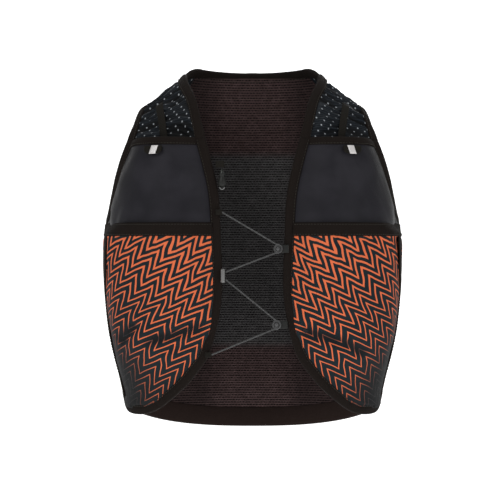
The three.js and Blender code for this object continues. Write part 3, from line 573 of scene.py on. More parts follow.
class Shader:
    """A material with a Principled shader, and short names for the nodes that drive it."""

    def __init__(self, name, color, roughness, **sockets):
        self.material = bpy.data.materials.new(name)
        self.material.use_nodes = True
        self.tree = self.material.node_tree
        self.bsdf = self.tree.nodes["Principled BSDF"]
        self.bsdf.inputs["Base Color"].default_value = (*color, 1)
        self.bsdf.inputs["Roughness"].default_value = roughness
        for key, value in sockets.items():
            self.bsdf.inputs[key.replace("_", " ")].default_value = value
        self.material.diffuse_color = (*color, 1)

    def feed(self, socket, value):
        if isinstance(value, Value):
            self.tree.links.new(value.socket, socket)
        else:
            socket.default_value = value

    def node(self, kind, *links, **settings):
        made = self.tree.nodes.new(kind)
        for key, value in settings.items():
            setattr(made, key, value)
        for socket, value in zip(made.inputs, links):
            self.feed(socket, value)
        return made

    def math(self, operation, a, b):
        return Value(self, self.node("ShaderNodeMath", a, b, operation=operation).outputs[0])

    def cloth(self):
        """The three cloth coordinates in millimetres, and the first two as a vector."""
        attribute = self.node("ShaderNodeAttribute", attribute_name="cloth", attribute_type="GEOMETRY")
        parts = self.node("ShaderNodeSeparateXYZ", Value(self, attribute.outputs["Vector"]))
        x, y, third = (Value(self, part) for part in parts.outputs)
        return x, y, third, Value(self, self.node("ShaderNodeCombineXYZ", x, y).outputs[0])

    def object_space(self):
        return Value(self, self.node("ShaderNodeTexCoord").outputs["Object"])

    def noise(self, place, scale, detail):
        made = self.node("ShaderNodeTexNoise")
        for key, value in (("Vector", place), ("Scale", scale), ("Detail", detail)):
            self.feed(made.inputs[key], value)
        return Value(self, made.outputs["Fac"])

    def mix(self, factor, a, b):
        made = self.node("ShaderNodeMix", data_type="RGBA")
        self.feed(made.inputs["Factor"], factor)
        for name, value in (("A", a), ("B", b)):
            socket = [s for s in made.inputs if s.name == name and s.type == "RGBA"][0]
            self.feed(socket, (*value, 1) if isinstance(value, tuple) else value)
        return Value(self, [s for s in made.outputs if s.type == "RGBA"][0])

    def bump(self, height, strength, distance):
        made = self.node("ShaderNodeBump")
        for key, value in (("Strength", strength), ("Distance", distance), ("Height", height)):
            self.feed(made.inputs[key], value)
        self.feed(self.bsdf.inputs["Normal"], Value(self, made.outputs[0]))

    def color(self, value):
        self.feed(self.bsdf.inputs["Base Color"], value)

    def roughness(self, value):
        self.feed(self.bsdf.inputs["Roughness"], value)


def weave(x, y, pitch):
    """Height of a plain weave with a thread pitch in millimetres."""
    return (x.wave(2 * pitch) * y.wave(2 * pitch)).span(-0.9, 0.9)


def nylon_material():
    """Smooth nylon, with painted shade where it turns to the side, as the third cloth coordinate says."""
    s = Shader("black nylon", (0.0125, 0.012, 0.0145), 0.42, Specular_IOR_Level=0.09)
    x, y, painted_side_shade, plane = s.cloth()
    patches = s.noise(plane, 0.035, 2)
    flat = s.mix(patches.span(0.3, 0.7), (0.0105, 0.0100, 0.0128), (0.0160, 0.0152, 0.0190))
    # Painted shade: the nylon is darkened towards the side, where it turns away from the light.
    s.color(s.mix(painted_side_shade, flat, (0.0065, 0.0062, 0.0070)))
    s.roughness(patches.span(0.2, 0.8, 0.42, 0.56))
    s.bump(weave(x, y, 0.45), 0.25, 0.0002)
    return s.material


def chevron_material():
    """Stretch mesh with zigzag lines, whose width and warmth follow the third cloth coordinate; on the front
    pockets that coordinate also holds painted shade in the creases and folds.
    """
    s = Shader("chevron stretch", (0.3, 0.1, 0.04), 0.75, Specular_IOR_Level=0.12)
    q, z, warmth, plane = s.cloth()
    lean = math.radians(39)
    period, rise, spacing, wander = 18.5, 18.8, 11.7, 14.0
    inwards = s.noise(plane, 0.02, 2) * wander - q
    a = inwards * math.cos(lean) - z * math.sin(lean)
    b = inwards * math.sin(lean) + z * math.cos(lean)
    zigzag = a.math("PINGPONG", period / 2) * (2 * rise / period)
    from_line = (((b - zigzag) / spacing).fraction() - 0.5).absolute()
    half_width = (warmth * (warmth * 0.35 + 0.65)).span(0.0, 1.0, 0.04, 0.225, "LINEAR")
    line = 1.0 - (from_line - half_width).span(-0.03, 0.03)
    glow = s.mix(warmth.span(0.0, 0.38), (0.030, 0.028, 0.029), (0.66, 0.143, 0.054))
    ground = s.mix(s.noise(plane, 0.06, 2), (0.0045, 0.0095, 0.0125), (0.0085, 0.0155, 0.019))
    ground = s.mix(warmth.span(0.0, 0.4), (0.0062, 0.0062, 0.0064), ground)
    threads = weave(q, z, 0.55)
    s.color(s.mix(threads * 0.25, s.mix(line, ground, glow), (0.004, 0.006, 0.008)))
    s.bump(threads * 0.4 + line * 0.6, 0.35, 0.0004)
    return s.material


def dotted_material():
    """Ripstop with slanting ribs and a staggered grid of small pale dots, with painted shade in its fold
    valleys.
    """
    s = Shader("dotted ripstop", (0.02, 0.024, 0.03), 0.62, Specular_IOR_Level=0.12)
    x, arc, ripple, _ = s.cloth()
    pitch, row_pitch, stagger, radius, soft = 8.1, 6.4, 3.0, 0.75, 0.3
    row = arc / row_pitch
    in_row = (row.fraction() - 0.5) * row_pitch
    in_column = (((x + row.math("FLOOR") * stagger) / pitch).fraction() - 0.5) * pitch
    reach = (in_row * in_row + in_column * in_column).math("SQRT")
    dot = 1.0 - reach.span(radius - soft, radius + soft)
    ribs = (arc + x * 0.36).wave(2.5).span(0.2, 1.0)
    ground = s.mix(ribs, (0.0036, 0.0052, 0.0075), (0.0125, 0.0165, 0.0215))
    # Painted shade: the ground darkens in the valleys of the yoke's ripples, which the third cloth
    # coordinate gives.
    ground = s.mix(ripple.span(-1.8, 1.6), (0.0016, 0.0019, 0.0024), ground)
    s.color(s.mix(dot, ground, (0.30, 0.32, 0.34)))
    s.bump(ribs + dot * 0.6, 0.5, 0.0005)
    return s.material


def mesh_material():
    """Ribbed spacer mesh: rows of short cells, browner at the top and the foot, with painted shade towards
    the sides.
    """
    s = Shader("ribbed mesh", (0.02, 0.015, 0.015), 0.9, Specular_IOR_Level=0.05)
    q, z, _, plane = s.cloth()
    row_pitch, cell_pitch = 2.9, 3.5
    row = z / row_pitch
    drift = s.noise(plane, 0.09, 2) * 0.9 + row.math("FLOOR").math("MODULO", 2.0) * 0.5
    cell = (q / cell_pitch + drift).fraction()
    between_rows = 1.0 - (row.fraction() - 0.5).absolute().span(0.12, 0.32)
    between_cells = 1.0 - (cell - 0.5).absolute().span(0.28, 0.50, 0.0, 0.8)
    hole = between_rows * between_cells * s.noise(plane, 0.30, 2).span(0.34, 0.56, 0.5, 1.0)
    warm = z.span(-75.0, -62.0).math("MAXIMUM", 1.0 - z.span(-302.0, -290.0))
    cloth = s.mix(warm, (0.054, 0.0520, 0.0520), (0.052, 0.0335, 0.0325))
    fleck = s.mix(warm, (0.074, 0.071, 0.071), (0.074, 0.048, 0.047))
    cloth = s.mix(s.noise(plane, 0.11, 3).span(0.35, 0.75), cloth, fleck)
    # Painted shade, as cast by the front panels: the mesh darkens with distance from the centre line.
    cloth = s.mix(q.absolute().span(28.0, 64.0, 0.0, 0.55), cloth, (0.012, 0.0085, 0.0085))
    s.color(s.mix(hole, cloth, (0.0045, 0.0036, 0.0036)))
    s.bump(1.0 - hole, 0.8, 0.0012)
    return s.material


def shell_material():
    """Stretch twill with a fine paler grid."""
    s = Shader("stretch shell", (0.012, 0.012, 0.0135), 0.7, Specular_IOR_Level=0.14)
    x, y, _, plane = s.cloth()
    twill = (x + y).wave(1.3).span(-0.6, 0.9)
    grid = x.wave(5.2).span(0.93, 1.0).math("MAXIMUM", y.wave(5.2).span(0.93, 1.0))
    tone = s.noise(plane, 0.02, 3).span(0.3, 0.7)
    cloth = s.mix(tone, (0.0092, 0.0092, 0.0106), (0.0135, 0.0135, 0.0152))
    s.color(s.mix(grid, cloth, (0.022, 0.022, 0.025)))
    s.bump(twill + grid, 0.3, 0.0003)
    return s.material


def shaded(color, factor):
    return tuple(min(1, c * factor) for c in color)


def tape_material(name="edge tape", color=(0.0082, 0.0060, 0.0050), rib=0.9):
    """Woven tape: x runs along it and y across it."""
    s = Shader(name, color, 0.9, Specular_IOR_Level=0.07)
    x, _, _, plane = s.cloth()
    ribs = x.wave(rib).span(-0.7, 0.8)
    grain = s.noise(plane, 0.5, 2)
    s.color(s.mix(ribs * 0.5 + grain * 0.5, shaded(color, 0.75), shaded(color, 1.35)))
    s.bump(ribs + grain * 0.4, 0.4, 0.0003)
    return s.material


def reflective_material():
    """Pale tape with a fine grid of cells."""
    s = Shader("reflective tape", (0.50, 0.48, 0.47), 0.35, Metallic=0.25)
    x, y, _, _ = s.cloth()
    cells = x.wave(1.1) * y.wave(1.1)
    s.color(s.mix(cells.span(-0.6, 0.6), (0.40, 0.38, 0.375), (0.60, 0.585, 0.575)))
    s.bump(cells, 0.2, 0.0002)
    return s.material


def cord_material():
    """Braided elastic: two sets of threads that wind round it, with paler flecks."""
    s = Shader("braided elastic", (0.075, 0.075, 0.075), 0.6, Specular_IOR_Level=0.3)
    run, turn, _, plane = s.cloth()
    braid = (run + turn).wave(1.6).math("MAXIMUM", (run - turn).wave(1.6)).span(0.0, 1.0)
    fleck = s.noise(plane, 0.8, 1).span(0.6, 0.72)
    s.color(s.mix(fleck, s.mix(braid, (0.018, 0.018, 0.018), (0.062, 0.062, 0.062)), (0.12, 0.12, 0.12)))
    s.bump(braid, 0.6, 0.0003)
    return s.material


def moulded_material(name, color, roughness, grain=0.25, **sockets):
    """A moulded part: an even colour with slow changes of tone and gloss, and a fine grain."""
    s = Shader(name, color, roughness, **sockets)
    place = s.object_space()
    broad = s.noise(place, 60.0, 2)
    s.color(s.mix(broad, shaded(color, 0.85), shaded(color, 1.15)))
    s.roughness(broad.span(0.3, 0.7, roughness - 0.05, roughness + 0.08))
    s.bump(s.noise(place, 900.0, 2), grain, 0.0001)
    return s.material


def film_material():
    """The translucent blue film of a soft flask."""
    film = dict(Transmission_Weight=0.35, IOR=1.4, Coat_Weight=0.3)
    s = Shader("flask film", (0.50, 0.66, 0.75), 0.22, **film)
    place = s.object_space()
    s.color(s.mix(s.noise(place, 30.0, 2), (0.42, 0.60, 0.70), (0.58, 0.72, 0.80)))
    s.bump(s.noise(place, 60.0, 2), 0.15, 0.001)
    return s.material


NYLON = nylon_material()
CHEVRON = chevron_material()
DOTTED = dotted_material()
RIBBED = mesh_material()
SHELL = shell_material()
TAPE = tape_material()
HEM = tape_material("hem tape", (0.0150, 0.0094, 0.0080))
WEBBING = tape_material("webbing", (0.0095, 0.0085, 0.0070), 1.6)
THREAD = tape_material("thread", (0.034, 0.032, 0.027), 0.7)
REFLECTIVE = reflective_material()
CORD = cord_material()
GREY_PLASTIC = moulded_material("moulded grey", (0.035, 0.035, 0.036), 0.42)
PALE_PLASTIC = moulded_material("moulded pale grey", (0.11, 0.11, 0.108), 0.4)
BLACK_PLASTIC = moulded_material("moulded black", (0.0075, 0.008, 0.007), 0.42, Specular_IOR_Level=0.22)
METAL = moulded_material("satin wire", (0.07, 0.075, 0.068), 0.3, 0.1, Metallic=1.0)
FILM = film_material()
RUBBER = moulded_material("valve rubber", (0.16, 0.27, 0.33), 0.5)

# ---------------------------------------------------------------- shared by the pieces

SIDES = (("left", 1), ("right", -1))

# Points given as the bend of pieces that lie between the back and a front panel; settle reads only that a
# bend is given.
YOKE_BEND = ((0, 0.020, -0.028), (0, -0.062, -0.058))
PANEL_BEND = ((0, 0.0, -0.2), (0, -0.058, -0.2))


def on_side(points, sign):
    return points * np.array([sign, 1.0, 1.0])


def settle(piece, slot, body=None, bend=None, replaces=()):
    """Makes a piece ride on a body, or, where a bend is given, bakes its transform into its mesh; hides the
    CAD nodes that it replaces. The slot is not used.
    """
    if bend is None:
        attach(piece, body)
    else:
        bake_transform(piece)
    if replaces:
        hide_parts(*replaces)
    return piece


def declare_cloth(outer):
    """Takes the diagonals of the cells of a piece's outer face, and does nothing more with them."""
    a, b = outer[1:, 1:] - outer[:-1, :-1], outer[1:, :-1] - outer[:-1, 1:]


def laid_piece(name, surface, a, b, offset, thickness, material, sign, cloth):
    """A cloth laid on one side of the body form, with its outer face at an offset, and that face."""
    outer = on_side(lifted(surface, a, b, offset), sign)
    inner = on_side(lifted(surface, a, b, offset - thickness), sign)
    return sheet_piece(name, outer, inner, np.stack(np.broadcast_arrays(*cloth), axis=-1), material), outer


def tape_piece(name, parts, width, heights, sign, base=None, seed=0, meets=None, breadth=None, upright=None,
               step=TAPE_STEP):
    """A folded tape along paths that follow on from each other, each with its surface and its into.

    Its first or last rings are eased over to a ring that it meets, given as (index of that end, ring).
    """
    rings, cloths, start = [], [], 0.0
    for surface, path, into in parts:
        path = even_path(surface, path, step)
        turn = turn_into(surface, path, into)
        scale = breadth(path) if breadth and surface is back_point else 1.0
        section = tape_section(width, *heights)
        ring, cloth = tape_rings(surface, path, section, turn, base, 0.2, seed, scale, upright)
        cloth = cloth + np.array([start, 0, 0])
        start = cloth[-1, 0, 0] + 2.0
        rings.append(ring)
        cloths.append(cloth)
    rings = np.concatenate(rings)
    if meets:
        end, target = meets
        steps = np.arange(len(rings)) if end == 0 else np.arange(len(rings))[::-1]
        rings = rings + ease(1 - steps / 9)[:, None, None] * (target - rings[end])
    return tube_piece(name, on_side(rings, sign), TAPE, np.concatenate(cloths))


def first_ring(surface, path, width, heights, into):
    """The ring with which a tape along a path begins."""
    path = even_path(surface, path, TAPE_STEP)
    turn = turn_into(surface, path, into)
    return tape_rings(surface, path, tape_section(width, *heights), turn, None, 0.0)[0][0]


STITCH_LENGTH, STITCH_GAP, STITCH_RADIUS = 2.3, 1.1, 0.28
STITCH_STATIONS = ((0.0, 0.35), (0.12, 1.0), (0.88, 1.0), (1.0, 0.35))  # share of length and radius
STITCH_SIDES = 6


def stitch_row(surface, path, distance, height, into=None, base=None):
    """The two ends of each stitch in a row that runs beside a path."""
    path = even_path(surface, path, STITCH_STEP)
    distance = distance(path) if callable(distance) else distance
    moved = moved_square(surface, path, distance, turn_into(surface, path, into))
    stand = base(*moved.T) if base else 0
    line = lifted(surface, *moved.T, height + stand + np.zeros(len(moved)))
    run = run_of(line)
    starts = np.arange(1.0, run[-1] - STITCH_LENGTH, STITCH_LENGTH + STITCH_GAP)
    return np.stack([at_run(line, run, starts), at_run(line, run, starts + STITCH_LENGTH)], axis=1)


def stitch_piece(name, rows, sign):
    """Every stitch of several rows as one mesh of small capsules."""
    vertices, faces, cloth = [], [], []
    turns = np.linspace(0, 2 * np.pi, STITCH_SIDES, endpoint=False)
    for a, b in on_side(np.concatenate(rows), sign):
        direction = (b - a) / np.linalg.norm(b - a)
        across = np.cross(direction, [0.31, 0.17, 0.93])
        across /= np.linalg.norm(across)
        upward = np.cross(direction, across)
        first = len(vertices)
        for t, share in STITCH_STATIONS:
            for turn in turns:
                spoke = (across * math.cos(turn) + upward * math.sin(turn)) * STITCH_RADIUS * share
                vertices.append(lerp(a, b, t) + spoke)
                cloth.append((t * STITCH_LENGTH, turn, 0))
        last = first + STITCH_SIDES * (len(STITCH_STATIONS) - 1)
        for ring in range(first, last, STITCH_SIDES):
            for i in range(STITCH_SIDES):
                j = (i + 1) % STITCH_SIDES
                faces.append((ring + i, ring + j, ring + STITCH_SIDES + j, ring + STITCH_SIDES + i))
        faces.append(tuple(first + i for i in reversed(range(STITCH_SIDES))))
        faces.append(tuple(last + i for i in range(STITCH_SIDES)))
    return make_object(name, np.array(vertices), faces, THREAD, np.array(cloth))


def strap_piece(name, surface, place, lift, section, run, sign):
    """A flat webbing strap, whose section is given as distances across it and heights."""
    rings = np.stack([lifted(surface, *place(s), lift + h) for s, h in section], axis=1)
    cloth = np.stack([np.stack([run, np.full(len(run), s), 0 * run], axis=-1) for s, _ in section], axis=1)
    return tube_piece(name, on_side(rings, sign), WEBBING, cloth)


# ---------------------------------------------------------------- shoulders


ARC_RADIUS = 100  # turns an angle over the shoulder into millimetres of cloth
NECK_HEIGHTS, EDGE_HEIGHTS, ARMHOLE_HEIGHTS = (-0.8, 4.0), (-1.0, 5.2), (-0.8, 3.9)


def yoke_offset(x, angle, sign):
    """Ripples that cross the yoke from the neck to the armhole."""
    arc = np.radians(angle) * ARC_RADIUS
    bend = 6 * noise(x / 30, arc / 30, 3) + 0.25 * x
    folds = 1 - 2.6 * np.abs(noise((arc + bend) / 12.0, x / 40, 11 + sign))
    small = 1 - 2.2 * np.abs(noise((arc + 1.3 * bend) / 7.0, x / 22, 21 + sign))
    return 2.5 * folds + 1.4 * small


def build_yoke(side, sign):
    u, v = unit_grid(84, 150)
    foot_x = lerp(56.5, 133.5, u)
    foot_angle = angle_at(foot_x, mouth_height(foot_x) - 4)
    angle = lerp(-YOKE_BACK_ANGLE - 1.0, foot_angle, v)
    inner = np.interp(angle, NECKLINE[:, 1], NECKLINE[:, 0]) + EDGE_TAPE - TUCK
    outer = np.interp(angle, SHOULDER_LINE[:, 1], SHOULDER_LINE[:, 0]) - ARMHOLE_TAPE + TUCK
    x = lerp(inner, outer, u)
    window = ease(np.minimum(u, 1 - u) * 9) * ease(np.minimum(v + 0.04, 1.04 - v) * 9)
    ripple = yoke_offset(x, angle, sign)
    # The ripple heights also go into the third cloth coordinate, where the dotted material paints shade in
    # the valleys.
    cloth = (x, np.radians(angle) * ARC_RADIUS, ripple)
    lift = 1.6 + window * ripple
    piece, face = laid_piece(f"yoke_{side}", shoulder_point, x, angle, lift, 1.1, DOTTED, sign, cloth)
    settle(piece, "dotted_ripstop", f"front_{side}", YOKE_BEND, [f"shoulder_yoke_{side}"])
    declare_cloth(face)


STRAP_LENGTH = 42
STRAP_TOP, STRAP_FOOT = (102.5, -21), (96, MOUTH_Z - 4)
STRAP_SECTION = [(-3.9, 0.2), (-3.6, 0.7), (-2, 0.8), (2, 0.8), (3.6, 0.7), (3.9, 0.2)]
STRAP_SECTION += [(3.6, -0.4), (-3.6, -0.4)]


def build_strap(side, sign):
    """A short strap, that lies on the yoke and is tucked behind the binding of the pocket mouth."""
    t = np.linspace(0, 1, 36)
    x = lerp(STRAP_TOP[0], STRAP_FOOT[0], t)
    angle = lerp(angle_at(*STRAP_TOP), angle_at(*STRAP_FOOT), t)
    lift = 5.0 + 0.5 * np.sin(t * 7) - 1.4 * ease((t - 0.8) * 5) - 1.6 * ease((0.12 - t) * 8)
    place = lambda s: (x + s, angle)
    piece = strap_piece(f"strap_{side}", shoulder_point, place, lift, STRAP_SECTION, STRAP_LENGTH * t, sign)
    settle(piece, "webbing", f"front_{side}", YOKE_BEND, [f"shoulder_strap_{side}"])


def nape_path():
    """The neckline behind the neck, from the centre line to the yoke's seam."""
    t = np.linspace(0, 1, 30)
    z = lerp(NAPE_Z, float(yoke_seam_z(YOKE_NECK_X)), t * t)
    q = np.array([girth_at(YOKE_NECK_X * a, b, "back") for a, b in zip(t, z)])
    return np.stack([np.maximum(q, 0.02), z], axis=-1)


def shoulder_paths():
    """The neck edge and the armhole edge over the shoulder, above the pocket mouth."""
    neck = NECKLINE[NECKLINE[:, 1] <= angle_at(NECKLINE[:, 0], MOUTH_Z)]
    outer = SHOULDER_LINE[SHOULDER_LINE[:, 1] <= angle_at(SHOULDER_LINE[:, 0], mouth_height(ARMHOLE_X))]
    return neck, outer[::-1]


def nape_breadth(path):
    """The neck tape is narrow behind the neck and widens towards the shoulder seam."""
    return lerp(NAPE_TAPE / EDGE_TAPE, 1.0, np.clip(path[:, 0] / path[-1, 0], 0, 1) ** 2)


def front_edges():
    """The inner edge and the armhole edge of a front panel, below the pocket mouth."""
    edge = FRONT_EDGE[FRONT_EDGE[:, 1] <= MOUTH_Z + 1]
    return edge, FRONT_ARMHOLE[FRONT_ARMHOLE[:, 1] <= float(mouth_height(ARMHOLE_X)) + 3]


def build_shoulder_tapes(side, sign):
    neck, outer = shoulder_paths()
    edge, armhole = front_edges()
    nape = (back_point, nape_path(), None)
    bend = (f"front_{side}", YOKE_BEND)
    parts = [nape, (shoulder_point, neck, 1)]
    meets = (-1, first_ring(front_point, edge, EDGE_TAPE, EDGE_HEIGHTS, 1))
    name = f"neck_tape_{side}"
    piece = tape_piece(name, parts, EDGE_TAPE, NECK_HEIGHTS, sign, meets=meets, breadth=nape_breadth)
    settle(piece, "binding", *bend, ["neck_binding"])
    parts = [(shoulder_point, outer, -1), (back_point, BACK_ARMHOLE, -1)]
    meets = (0, first_ring(front_point, armhole, FRONT_ARMHOLE_TAPE, ARMHOLE_HEIGHTS, -1))
    piece = tape_piece(f"armhole_tape_{side}", parts, ARMHOLE_TAPE, NECK_HEIGHTS, sign, seed=4, meets=meets)
    settle(piece, "binding", *bend, [f"armhole_binding_{side}"])
    rows = [
        stitch_row(*nape[:2], 10.5, -0.2),
        stitch_row(shoulder_point, neck, EDGE_TAPE - 1.6, 4.2, 1),
        stitch_row(shoulder_point, outer, ARMHOLE_TAPE - 1.4, 4.2, -1),
        stitch_row(back_point, BACK_ARMHOLE, ARMHOLE_TAPE - 1.4, 4.2, -1),
    ]
    settle(stitch_piece(f"shoulder_stitches_{side}", rows, sign), "binding", *bend)


# ---------------------------------------------------------------- front panels

ARMHOLE_X = 138  # half width at the armhole's end of the pocket mouth


def mouth_height(x):
    """The pocket mouth drops a little towards the armhole."""
    return MOUTH_Z - 4.5 * np.clip((np.asarray(x, float) - 105) / 35, 0, 1) ** 1.5


def chest_offset(q, z):
    """How far the chest pocket stands off the body form."""
    return 3.1 + FLASK_DEPTH * flask_swell(q, z)


def lower_offset(q, z):
    """How far the stretch pocket stands off the body form; it lies flatter over its outer half."""
    u = panel_fraction(q, z)
    outer = ease((u - 0.55) / 0.35)
    ramp = np.minimum(1, 10 * u) * (1 - outer)
    stand = np.maximum(LOWER_DEPTH * lower_swell(q, z), FLASK_DEPTH * flask_swell(q, z))
    return 4.6 - 1.6 * outer + 1.8 * ramp + stand * (1 - 0.75 * outer)


def build_lining(side, sign):
    q, z, _, _ = panel_grid(60, 110, MOUTH_Z + 1)
    lift = 1.6 - LINING_DIP * flask_swell(q, z)
    piece, face = laid_piece(f"lining_{side}", front_point, q, z, lift, 1.5, RIBBED, sign, (q, z, 0 * q))
    settle(piece, "mesh_lining", f"front_{side}", PANEL_BEND, [f"panel_lining_{side}"])
    declare_cloth(face)


def build_chest(side, sign):
    q, z, u, v = panel_grid(90, 150, MOUTH_Z - 3, SLEEVE_BOTTOM)
    sag = ease(v * 12) * ease(np.minimum(u, 1 - u) * 8)
    soft = 1.1 * fractal(q / 34, z / 60, 31 + sign, 2)
    soft = soft + 0.5 * fractal((q + 0.5 * z) / 13, z / 40, 41 + sign, 2)
    lift = chest_offset(q, z) + sag * soft - 1.2 * ease((z + 165) / -30)
    # The third cloth coordinate is painted shade on the nylon, rising towards the armhole side.
    cloth = (q, z, ease((u - 0.62) / 0.3))
    piece, face = laid_piece(f"chest_pocket_cloth_{side}", front_point, q, z, lift, 0.9, NYLON, sign, cloth)
    settle(piece, "black_nylon", f"front_{side}", PANEL_BEND, [f"chest_pocket_{side}"])
    declare_cloth(face)


def across_path(z, inner, outer, count=80):
    """A path across a front panel at a height, which may change with the girth."""
    q = np.linspace(inner, outer, count)
    return np.stack([q, z(q) if callable(z) else np.full(count, float(z))], axis=-1)


def chest_mouth_path():
    inner = float(girth_on(SEAM_INNER, MOUTH_Z)) - 2
    outer = float(outer_girth(SEAM_OUTER, MOUTH_Z - 3.0)) + 2
    return across_path(lambda q: mouth_height(q - 12), inner, outer)


def lower_mouth_path():
    inner = float(girth_on(SEAM_INNER, LOWER_MOUTH_Z)) - 2
    outer = float(side_girth(LOWER_MOUTH_Z, "front")) - 0.5
    return across_path(LOWER_MOUTH_Z, inner, outer, 120)


def gathers(q, z, sign):
    """Small folds where the elastic of the mouth draws the stretch pocket in, dying away below it."""
    below = LOWER_MOUTH_Z - LOWER_MOUTH_TAPE - z
    fade = np.exp(-np.maximum(below, 0) / 26.0) * ease((below + 4) / 9)
    return 2.6 * fade * fractal(q / 7.5, z / 60 + 3, 51 + sign, 2)


# Creases of the stretch pockets, by sign: start, end, width and depth.
CREASES = {
    1: [((46, -268), (95, -282), 6.5, 4.6), ((95, -282), (118, -297), 6.0, 3.4)],
    -1: [
        ((118, -262), (140, -284), 6.0, 3.6),
        ((45, -262), (112, -284), 6.5, 4.6),
        ((60, -284), (100, -292), 5.0, 2.6),
    ],
}


def build_lower(side, sign):
    q, z, u, _ = panel_grid(130, 170, LOWER_MOUTH_Z - 4)
    edge = ease(np.minimum(u, 1 - u) * 14)
    folds = gathers(q, z, sign) + 0.9 * fractal(q / 40, z / 34, 61 + sign, 2)
    pull = edge * folds
    creases = edge * sum(crease(q, z, *line) for line in CREASES[sign])
    lift = lower_offset(q, z) + pull + creases
    outerness = ease((u - 0.15) / 0.85)
    downness = np.clip((LOWER_MOUTH_Z - LOWER_MOUTH_TAPE - z) / 190, 0, 1)
    warmth = 1.05 - 0.42 * outerness - downness * (0.84 + 0.30 * outerness)
    # Painted shade: the creases and the valleys of the folds lower the warmth, so the lines dim and narrow
    # there.
    warmth = np.clip(warmth + 0.10 * np.minimum(creases, 0) + 0.05 * np.minimum(pull, 0), 0, 1)
    cloth = (q + 0.5 * pull, z + 0.8 * pull, warmth)
    piece, face = laid_piece(f"stretch_pocket_{side}", front_point, q, z, lift, 1.0, CHEVRON, sign, cloth)
    settle(piece, "chevron_stretch", f"front_{side}", PANEL_BEND, [f"lower_pocket_{side}"])
    declare_cloth(face)


def band_piece(name, surface, path, width, heights, base, sign, seed):
    """A folded tape that hangs from a path across a panel."""
    return tape_piece(name, [(surface, path, None)], width, heights, sign, base, seed, step=BAND_STEP)


def build_panel_tapes(side, sign):
    bend = (f"front_{side}", PANEL_BEND)
    chest, lower = chest_mouth_path(), lower_mouth_path()
    edge, armhole = front_edges()
    gathered = lambda q, z: lower_offset(q, z) + 0.45 * fractal(q / 9, z / 40, 55 + sign, 2)
    at_seam = lambda run: ease((run - run[-1] + 28) / 24)

    name, heights = f"chest_mouth_{side}", (-1.6, 1.6)
    piece = band_piece(name, front_point, chest, MOUTH_TAPE, heights, chest_offset, sign, 8)
    settle(piece, "binding", *bend, [f"chest_pocket_binding_{side}"])
    name, heights = f"lower_mouth_{side}", (-1.8, 1.7)
    piece = band_piece(name, front_point, lower, LOWER_MOUTH_TAPE, heights, gathered, sign, 9)
    settle(piece, "binding", *bend, [f"lower_pocket_binding_{side}"])
    parts = [(front_point, edge, 1)]
    piece = tape_piece(f"edge_tape_{side}", parts, EDGE_TAPE, EDGE_HEIGHTS, sign, seed=2, upright=at_seam)
    settle(piece, "binding", *bend, [f"front_edge_binding_{side}"])
    parts = [(front_point, armhole, -1)]
    name = f"front_armhole_tape_{side}"
    piece = tape_piece(name, parts, FRONT_ARMHOLE_TAPE, ARMHOLE_HEIGHTS, sign, seed=3)
    settle(piece, "binding", *bend, [f"front_armhole_binding_{side}"])

    rows = [
        stitch_row(front_point, chest, MOUTH_TAPE - 1.5, 1.75, base=chest_offset),
        stitch_row(front_point, lower, LOWER_MOUTH_TAPE - 1.8, 1.85, base=gathered),
        stitch_row(front_point, lower, 2.2, 1.85, base=gathered),
        stitch_row(front_point, edge, EDGE_TAPE - 1.5, 5.35, 1),
        stitch_row(front_point, armhole, FRONT_ARMHOLE_TAPE - 1.4, 4.05, -1),
    ]
    settle(stitch_piece(f"panel_stitches_{side}", rows, sign), "binding", *bend)


def build_side_tape(side, sign):
    """A tape down the outer side of the stretch pocket, at the turn of the body."""
    path = []
    for z in np.linspace(LOWER_MOUTH_Z - LOWER_MOUTH_TAPE + 2, SIDE_HEM_Z + 4, 60):
        reach = float(side_girth(z, "front"))
        q = np.linspace(reach * 0.6, reach, 160)
        height = np.full(160, z)
        x = lifted(front_point, q, height, lower_offset(q, height))[:, 0]
        show = SIDE_TAPE_SHOW * float(lerp(0.3, 1.0, ease((z + 248) / 36)))
        path.append((float(q[np.argmax(x > x.max() - show)]), z))
    path = np.array(path)
    path[:, 0] = np.convolve(np.pad(path[:, 0], 6, mode="edge"), np.ones(13) / 13, mode="valid")
    bend = (f"front_{side}", PANEL_BEND)
    parts = [(front_point, path, 1)]
    piece = tape_piece(f"side_tape_{side}", parts, SIDE_TAPE, (-1.5, 1.3), sign, lower_offset, 7)
    settle(piece, "binding", *bend)
    rows = [stitch_row(front_point, path, 1.4, 1.45, 1, lower_offset)]
    settle(stitch_piece(f"side_tape_stitches_{side}", rows, sign), "binding", *bend)


PULL_X, PULL_Z = 99.2, -72.5
PULL_WIDTH, PULL_HEIGHT, PULL_TAB = 19, 9, 6.6


def build_pull(side, sign):
    """A flat webbing loop that hangs from the pocket mouth, with a slanting reflective tab round it."""
    centre = girth_at(PULL_X, PULL_Z, "front")
    a, b = unit_grid(22, 16, -1)
    b = 2 * b - 1
    round_off = 0.4 + 0.6 * np.sqrt(np.clip(1 - np.maximum(np.abs(a), np.abs(b)) ** 8, 0, 1))

    def flat(name, width, height, low, high, shift, slant, narrow, material):
        q = centre + shift + a * width / 2 * np.sqrt(1 - narrow * np.clip(b, 0, 1) ** 2) + slant * b
        z = PULL_Z - b * height / 2
        thickness = (high - low) * round_off
        lift = chest_offset(q, z) + 2.2 + thickness + low + 0.8 * ease(b * 0.5 + 0.5)
        cloth = (a * width / 2 + 20, b * height / 2 + 20, 0 * a)
        return laid_piece(name, front_point, q, z, lift, thickness, material, sign, cloth)[0]

    loop = flat(f"pull_webbing_{side}", PULL_WIDTH, PULL_HEIGHT, 0.2, 1.9, 0, 0, 0.72, WEBBING)
    settle(loop, "webbing", f"pull_{side}", replaces=[f"pull_loop_{side}"])
    tab = flat(f"pull_reflector_{side}", PULL_TAB, PULL_HEIGHT + 0.4, 2.0, 2.9, -1.5, 1.5, 0.0, REFLECTIVE)
    settle(tab, "reflective_tape", f"pull_{side}", replaces=[f"pull_tab_{side}"])


# ---------------------------------------------------------------- the back


